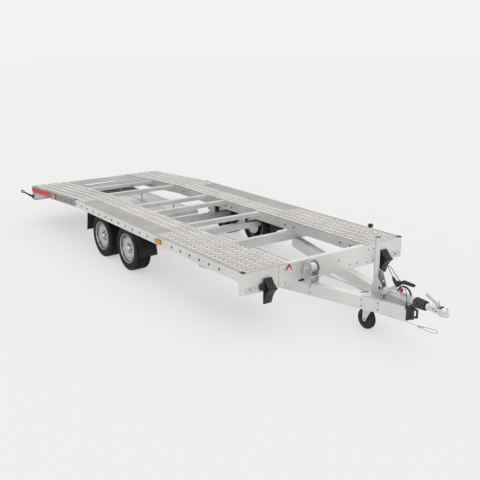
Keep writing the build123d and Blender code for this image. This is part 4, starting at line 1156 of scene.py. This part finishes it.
def makeRingLamp():
    tip, root, r = Vector(ringLamp["tip"]), Vector(ringLamp["root"]), ringLamp["radius"]
    way = (tip - root).normalized()
    start = root + Vector((0, 0.006, 0))
    parts = [boxFrom("armFoot", root - Vector((0.02, 0, 0.026)), root + Vector((0.02, 0.012, 0.026)), (0.004, 2)),
        rodFrom("armBase", start, start + way * 0.035, 0.019, 24, 0.0145)]
    for i in range(4):
        at = start + way * (0.036 + 0.009 * i)
        parts.append(rodFrom("armRib", at, at + way * 0.0055, 0.0155, 20, 0.0145))
    parts.append(rodFrom("armCore", start + way * 0.03, tip - way * 0.008, 0.012, 20, 0.0105))
    parts.append(spinLine("lampBody", [(-0.012, 0), (-0.012, r - 0.005), (-0.01, r - 0.001), (0, r),
        (0.01, r - 0.001), (0.012, r - 0.005), (0.012, 0)], tip, "X", 36, False))
    return joinPieces(parts, "ringLampLeft")


dressBoth(makeRingLamp(), "ringLampRight", blackRubber, 40, "marker_lamps")
for name, s, material, slotName in (("lensForward", 1, clearWhite, "black_plastic"),
        ("lensBackward", -1, redLens, "red_lens")):
    line = [(0.0115, 0), (0.0125, 0.0125), (0.0155, 0.011), (0.0173, 0.006), (0.0177, 0)]
    lens = spinLine(name, [(s * a, b) for a, b in line], ringLamp["tip"], "X", 30, False)
    dressBoth(lens, name + "Right", material, 60)

# rear lamps: black housing with three round lenses, and a blank number plate
tailLamp = {"low": (rearX - 0.034, 0.743, 0.345), "high": (rearX, 0.983, 0.455), "lensBack": rearX - 0.0095,
    "line": [(-0.004, 0), (-0.004, 0.033), (-0.011, 0.0325), (-0.0165, 0.029), (-0.0205, 0.02), (-0.022, 0.008),
    (-0.022, 0)], "lenses": (("tailReverse", 0.792, clearWhite, "black_plastic"),
    ("tailBrake", 0.863, redLens, "red_lens"), ("tailTurn", 0.934, amberLens, "amber_lens"))}


def facesBack(face):
    return face.normal.x < -0.9


housing = boxFrom("tailHousing", tailLamp["low"], tailLamp["high"])
insetFaces(housing, facesBack, (0.006, 0), (0.001, -0.006))
dressBoth(softenEdges(housing, 0.004, 2), "tailHousingRight", blackPlastic, node="tail_lamps")
middle = (tailLamp["low"][2] + tailLamp["high"][2]) / 2
for name, y, material, slotName in tailLamp["lenses"]:
    lens = spinLine(name, tailLamp["line"], (tailLamp["lensBack"], y, middle), "X", 36, False)
    dressBoth(lens, name + "Right", material, 60)
numberPlate = {"y": 0.54, "z": 0.4, "holder": (0.145, 0.095), "blank": (0.136, 0.086), "holderOut": 0.009,
    "blankOut": (0.0078, 0.005)}


def plateBox(name, half, back, front, soft=None):
    y, z = numberPlate["y"], numberPlate["z"]
    return boxFrom(name, (rearX - back, y - half[0], z - half[1]), (rearX - front, y + half[0], z + half[1]), soft)


plateHolder = plateBox("plateHolder", numberPlate["holder"], numberPlate["holderOut"], 0)
insetFaces(plateHolder, facesBack, (0.008, 0), (0.001, -0.003))
dress(softenEdges(plateHolder, 0.002, 2), blackPlastic)
blankPlate = plateBox("blankPlate", numberPlate["blank"], *numberPlate["blankOut"], (0.0012, 2))
dress(blankPlate, aluminium)
print("lamps dressed")

# dark rubber discs in the side rails' holes: painted shade of the holes, none where the lamps sit
holes = {"radius": 0.0145, "first": 0.365, "pitch": 0.175, "drop": 0.051, "deep": 0.012, "proud": 0.0012,
    "last": 0.05, "leftOut": 6, "clear": 0.08}


def makeRailHoleShades():
    railHoleShades = []
    number, x = 0, frontFace - holes["first"]
    while x > rearX + holes["last"]:
        if number != holes["leftOut"] and abs(x - sideLamp["places"][1]) > holes["clear"]:
            z = deckTop - fallAt(x) - holes["drop"]
            railHoleShades.append(rodFrom("railHoleShade", (x, deckHalf - holes["deep"], z), (x, deckHalf + holes["proud"], z),
                holes["radius"], 16, holes["radius"] * 0.88))
        x -= holes["pitch"]
        number += 1
    return joinPieces(railHoleShades, "railHoleShadesLeft")


dressBoth(makeRailHoleShades(), "railHoleShadesRight", blackRubber, 40)

# dark sheets just behind the slots of the inner rails: painted shade inside the rails
slots = {"places": (0.231, 0.381, 1.146, 1.3, 1.83, 2.38, 2.52, 2.66, 3.08, 3.56), "half": (0.021, 0.001, 0.009),
    "y": runwayIn + 0.0055, "z": deckTop - 0.065}
slotShadeSheets = []
for away in slots["places"]:
    centre, half = Vector((frontFace - away, slots["y"], slots["z"])), Vector(slots["half"])
    slotShadeSheets.append(boxFrom("slotShadeSheet", centre - half, centre + half, (0.0008, 1)))
dressBoth(joinPieces(slotShadeSheets, "slotShadeSheetsLeft"), "slotShadeSheetsRight", blackPlastic)

# bolts, joint line and eye of the front beam
beamBolts = [(0.545, 0.533), (0.614, 0.534), (0.536, 0.401), (0.614, 0.405), (0.14, 0.495), (0.386, 0.422),
    (0.286, 0.427), (-0.193, 0.543), (-0.545, 0.533), (-0.536, 0.401)]
boltsAt("beamBolts", 0.0085, [((frontFace, y, z), (1, 0, 0)) for y, z in beamBolts])
joint = boxFrom("beamJoint", (frontFace - 0.001, -0.6185, beamBottom + 0.002),
    (frontFace + 0.0007, -0.6155, deckTop - 0.002), (0.0003, 1))
eye = rodFrom("beamEye", (frontFace - 0.002, -0.2, 0.56), (frontFace + 0.0009, -0.2, 0.56), 0.008, 20,
    soft=(0.0003, 1))
dress(joinPieces([joint, eye], "beamDarkTrim"), blackRubber, 40)
print("beam trimmed")

# stowed ramps: punched, folded trays
rampLow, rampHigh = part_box("ramps")
rampTray = {"inner": 0.004, "outer": 0.33, "across": 6, "along": 41, "wall": 0.003, "rungs": 9, "rungHalf": 0.012,
    "hole": {"base": 0.0165, "shoulder": 0.0135, "lip": 0.012, "hole": 0.0105, "under": 0.0115, "height": 0.0045,
    "plate": 0.003}}


def makeRampTray():
    length, inner, outer = rampHigh.x - rampLow.x, rampTray["inner"], rampTray["outer"]
    pitch, width = length / rampTray["along"], (outer - inner) / rampTray["across"]
    top = rampHigh.z - rampTray["hole"]["height"]
    tile = makeTreadTile(pitch, width, rampTray["hole"], 1, 8)
    tile.data.transform(Matrix.Translation((rampHigh.x - pitch / 2, inner + width / 2, top)))
    repeatAlong(tile, rampTray["along"], (-pitch, 0, 0))
    repeatAlong(tile, rampTray["across"], (0, width, 0))
    tray = boxFrom("trayWalls", (rampHigh.x - length, inner, rampLow.z), (rampHigh.x, outer, top))
    editPiece(tray)
    choose(tray, "faces", lambda f: abs(f.normal.z) > 0.9)
    bpy.ops.mesh.delete(type="ONLY_FACE")
    endEdit()
    addModifier(tray, "SOLIDIFY", thickness=rampTray["wall"], offset=-1)
    parts = [tile, tray]
    for i in range(rampTray["rungs"]):
        x, half = rampHigh.x - length * (i + 0.5) / rampTray["rungs"], rampTray["rungHalf"]
        parts.append(boxFrom("trayRung", (x - half, inner + 0.003, rampLow.z + 0.008),
            (x + half, outer - 0.003, top - 0.001), (0.002, 1)))
    return joinPieces(parts, "rampLeft")


dressBoth(makeRampTray(), "rampRight", rampAluminium, node="ramps")
print("ramps punched")

# bright pull bar in the slot of the rear plate, in the stud colour that is a painted highlight
pullBar = {"x": rearX + 0.585, "from": -0.44, "to": 0.05, "radius": 0.009, "lift": 0.005, "stretch": 1.7}
z = deckTop - fallAt(pullBar["x"]) + pullBar["lift"]
bar = rodFrom("plateBar", (pullBar["x"], pullBar["from"], z), (pullBar["x"], pullBar["to"], z), pullBar["radius"],
    20, soft=(0.003, 2))
stretchAt(bar, pullBar["x"], pullBar["stretch"])
dress(bar, highlightAluminium)

# cable gland with its tapered sleeve, on top of the end plate
exitSpot = Vector(electricRoute[0])
nut = rodFrom("glandNut", exitSpot, exitSpot + Vector((0, 0, 0.007)), 0.0105, 6, soft=(0.0008, 1, 40))
dome = spinLine("glandDome", [(0.007, 0), (0.007, 0.0085), (0.013, 0.0085), (0.016, 0.0062), (0.02, 0.0062),
    (0.0205, 0.0052), (0.026, 0.0054), (0.0265, 0.0047), (0.032, 0.0049), (0.0325, 0.0043), (0.037, 0.0045),
    (0.038, 0.0038), (0.038, 0)], exitSpot, "Z", 28, False)
dress(joinPieces([nut, dome], "cableGland"), blackPlastic)

# jockey clamp, coupling and drawbar screws
clamp = {"bolts": (((2.715, -0.0305, 0.452), (0, -1, 0)), ((2.686, 0.0325, 0.43), (0, 1, 0)))}
couplingHousing = {"bolts": ((2.8, 0.1), (2.93, 0.066), (3.0, 0.052))}
drawbar = {"y": 0.3355, "lean": 0.27788, "places": (0.09, 0.62, 0.78), "heights": (0.285, 0.345)}
boltsAt("clampBolts", 0.0105, clamp["bolts"], material=castIron)
boltsAt("housingBolts", 0.0095, [((x, s * y, baseTop), (0, 0, 1)) for x, y in couplingHousing["bolts"]
    for s in (-1, 1)])
boltsAt("drawbarBolts", 0.008, [((frontFace + a, drawbar["lean"] * a - drawbar["y"], z), (-0.27, -0.96, 0))
    for a in drawbar["places"] for z in drawbar["heights"]])

# webbing loop, laid on the front beam
strap = {"y": -0.497, "spread": 0.034, "drop": 0.046, "fall": 0.034, "width": 0.02, "length": 0.1, "thick": 0.0018,
    "path": [(0, -1, 0), (0.003, -0.62, 0.02), (0.003, -0.3, 0.036), (0.002, -0.1, 0.044), (0.002, 0.1, 0.044),
    (0.004, 0.3, 0.034), (0.004, 0.62, 0.017), (0, 1, -0.003)]}


def makeStrap():
    x, y, low = frontFace + 0.002, strap["y"], deckTop - strap["drop"]
    line = drawLine("strapLoop", [(x + a, y + strap["spread"] * b, low + c) for a, b, c in strap["path"]])
    editPiece(line, "EDGE", True)
    extrude((0, 0.004, -strap["fall"]))
    endEdit()
    addModifier(line, "SOLIDIFY", thickness=strap["thick"], offset=0)
    addModifier(line, "SUBSURF", levels=2, render_levels=2)
    return line


strapLoop = dress(makeStrap(), redSheath, 60)
print("small parts added")
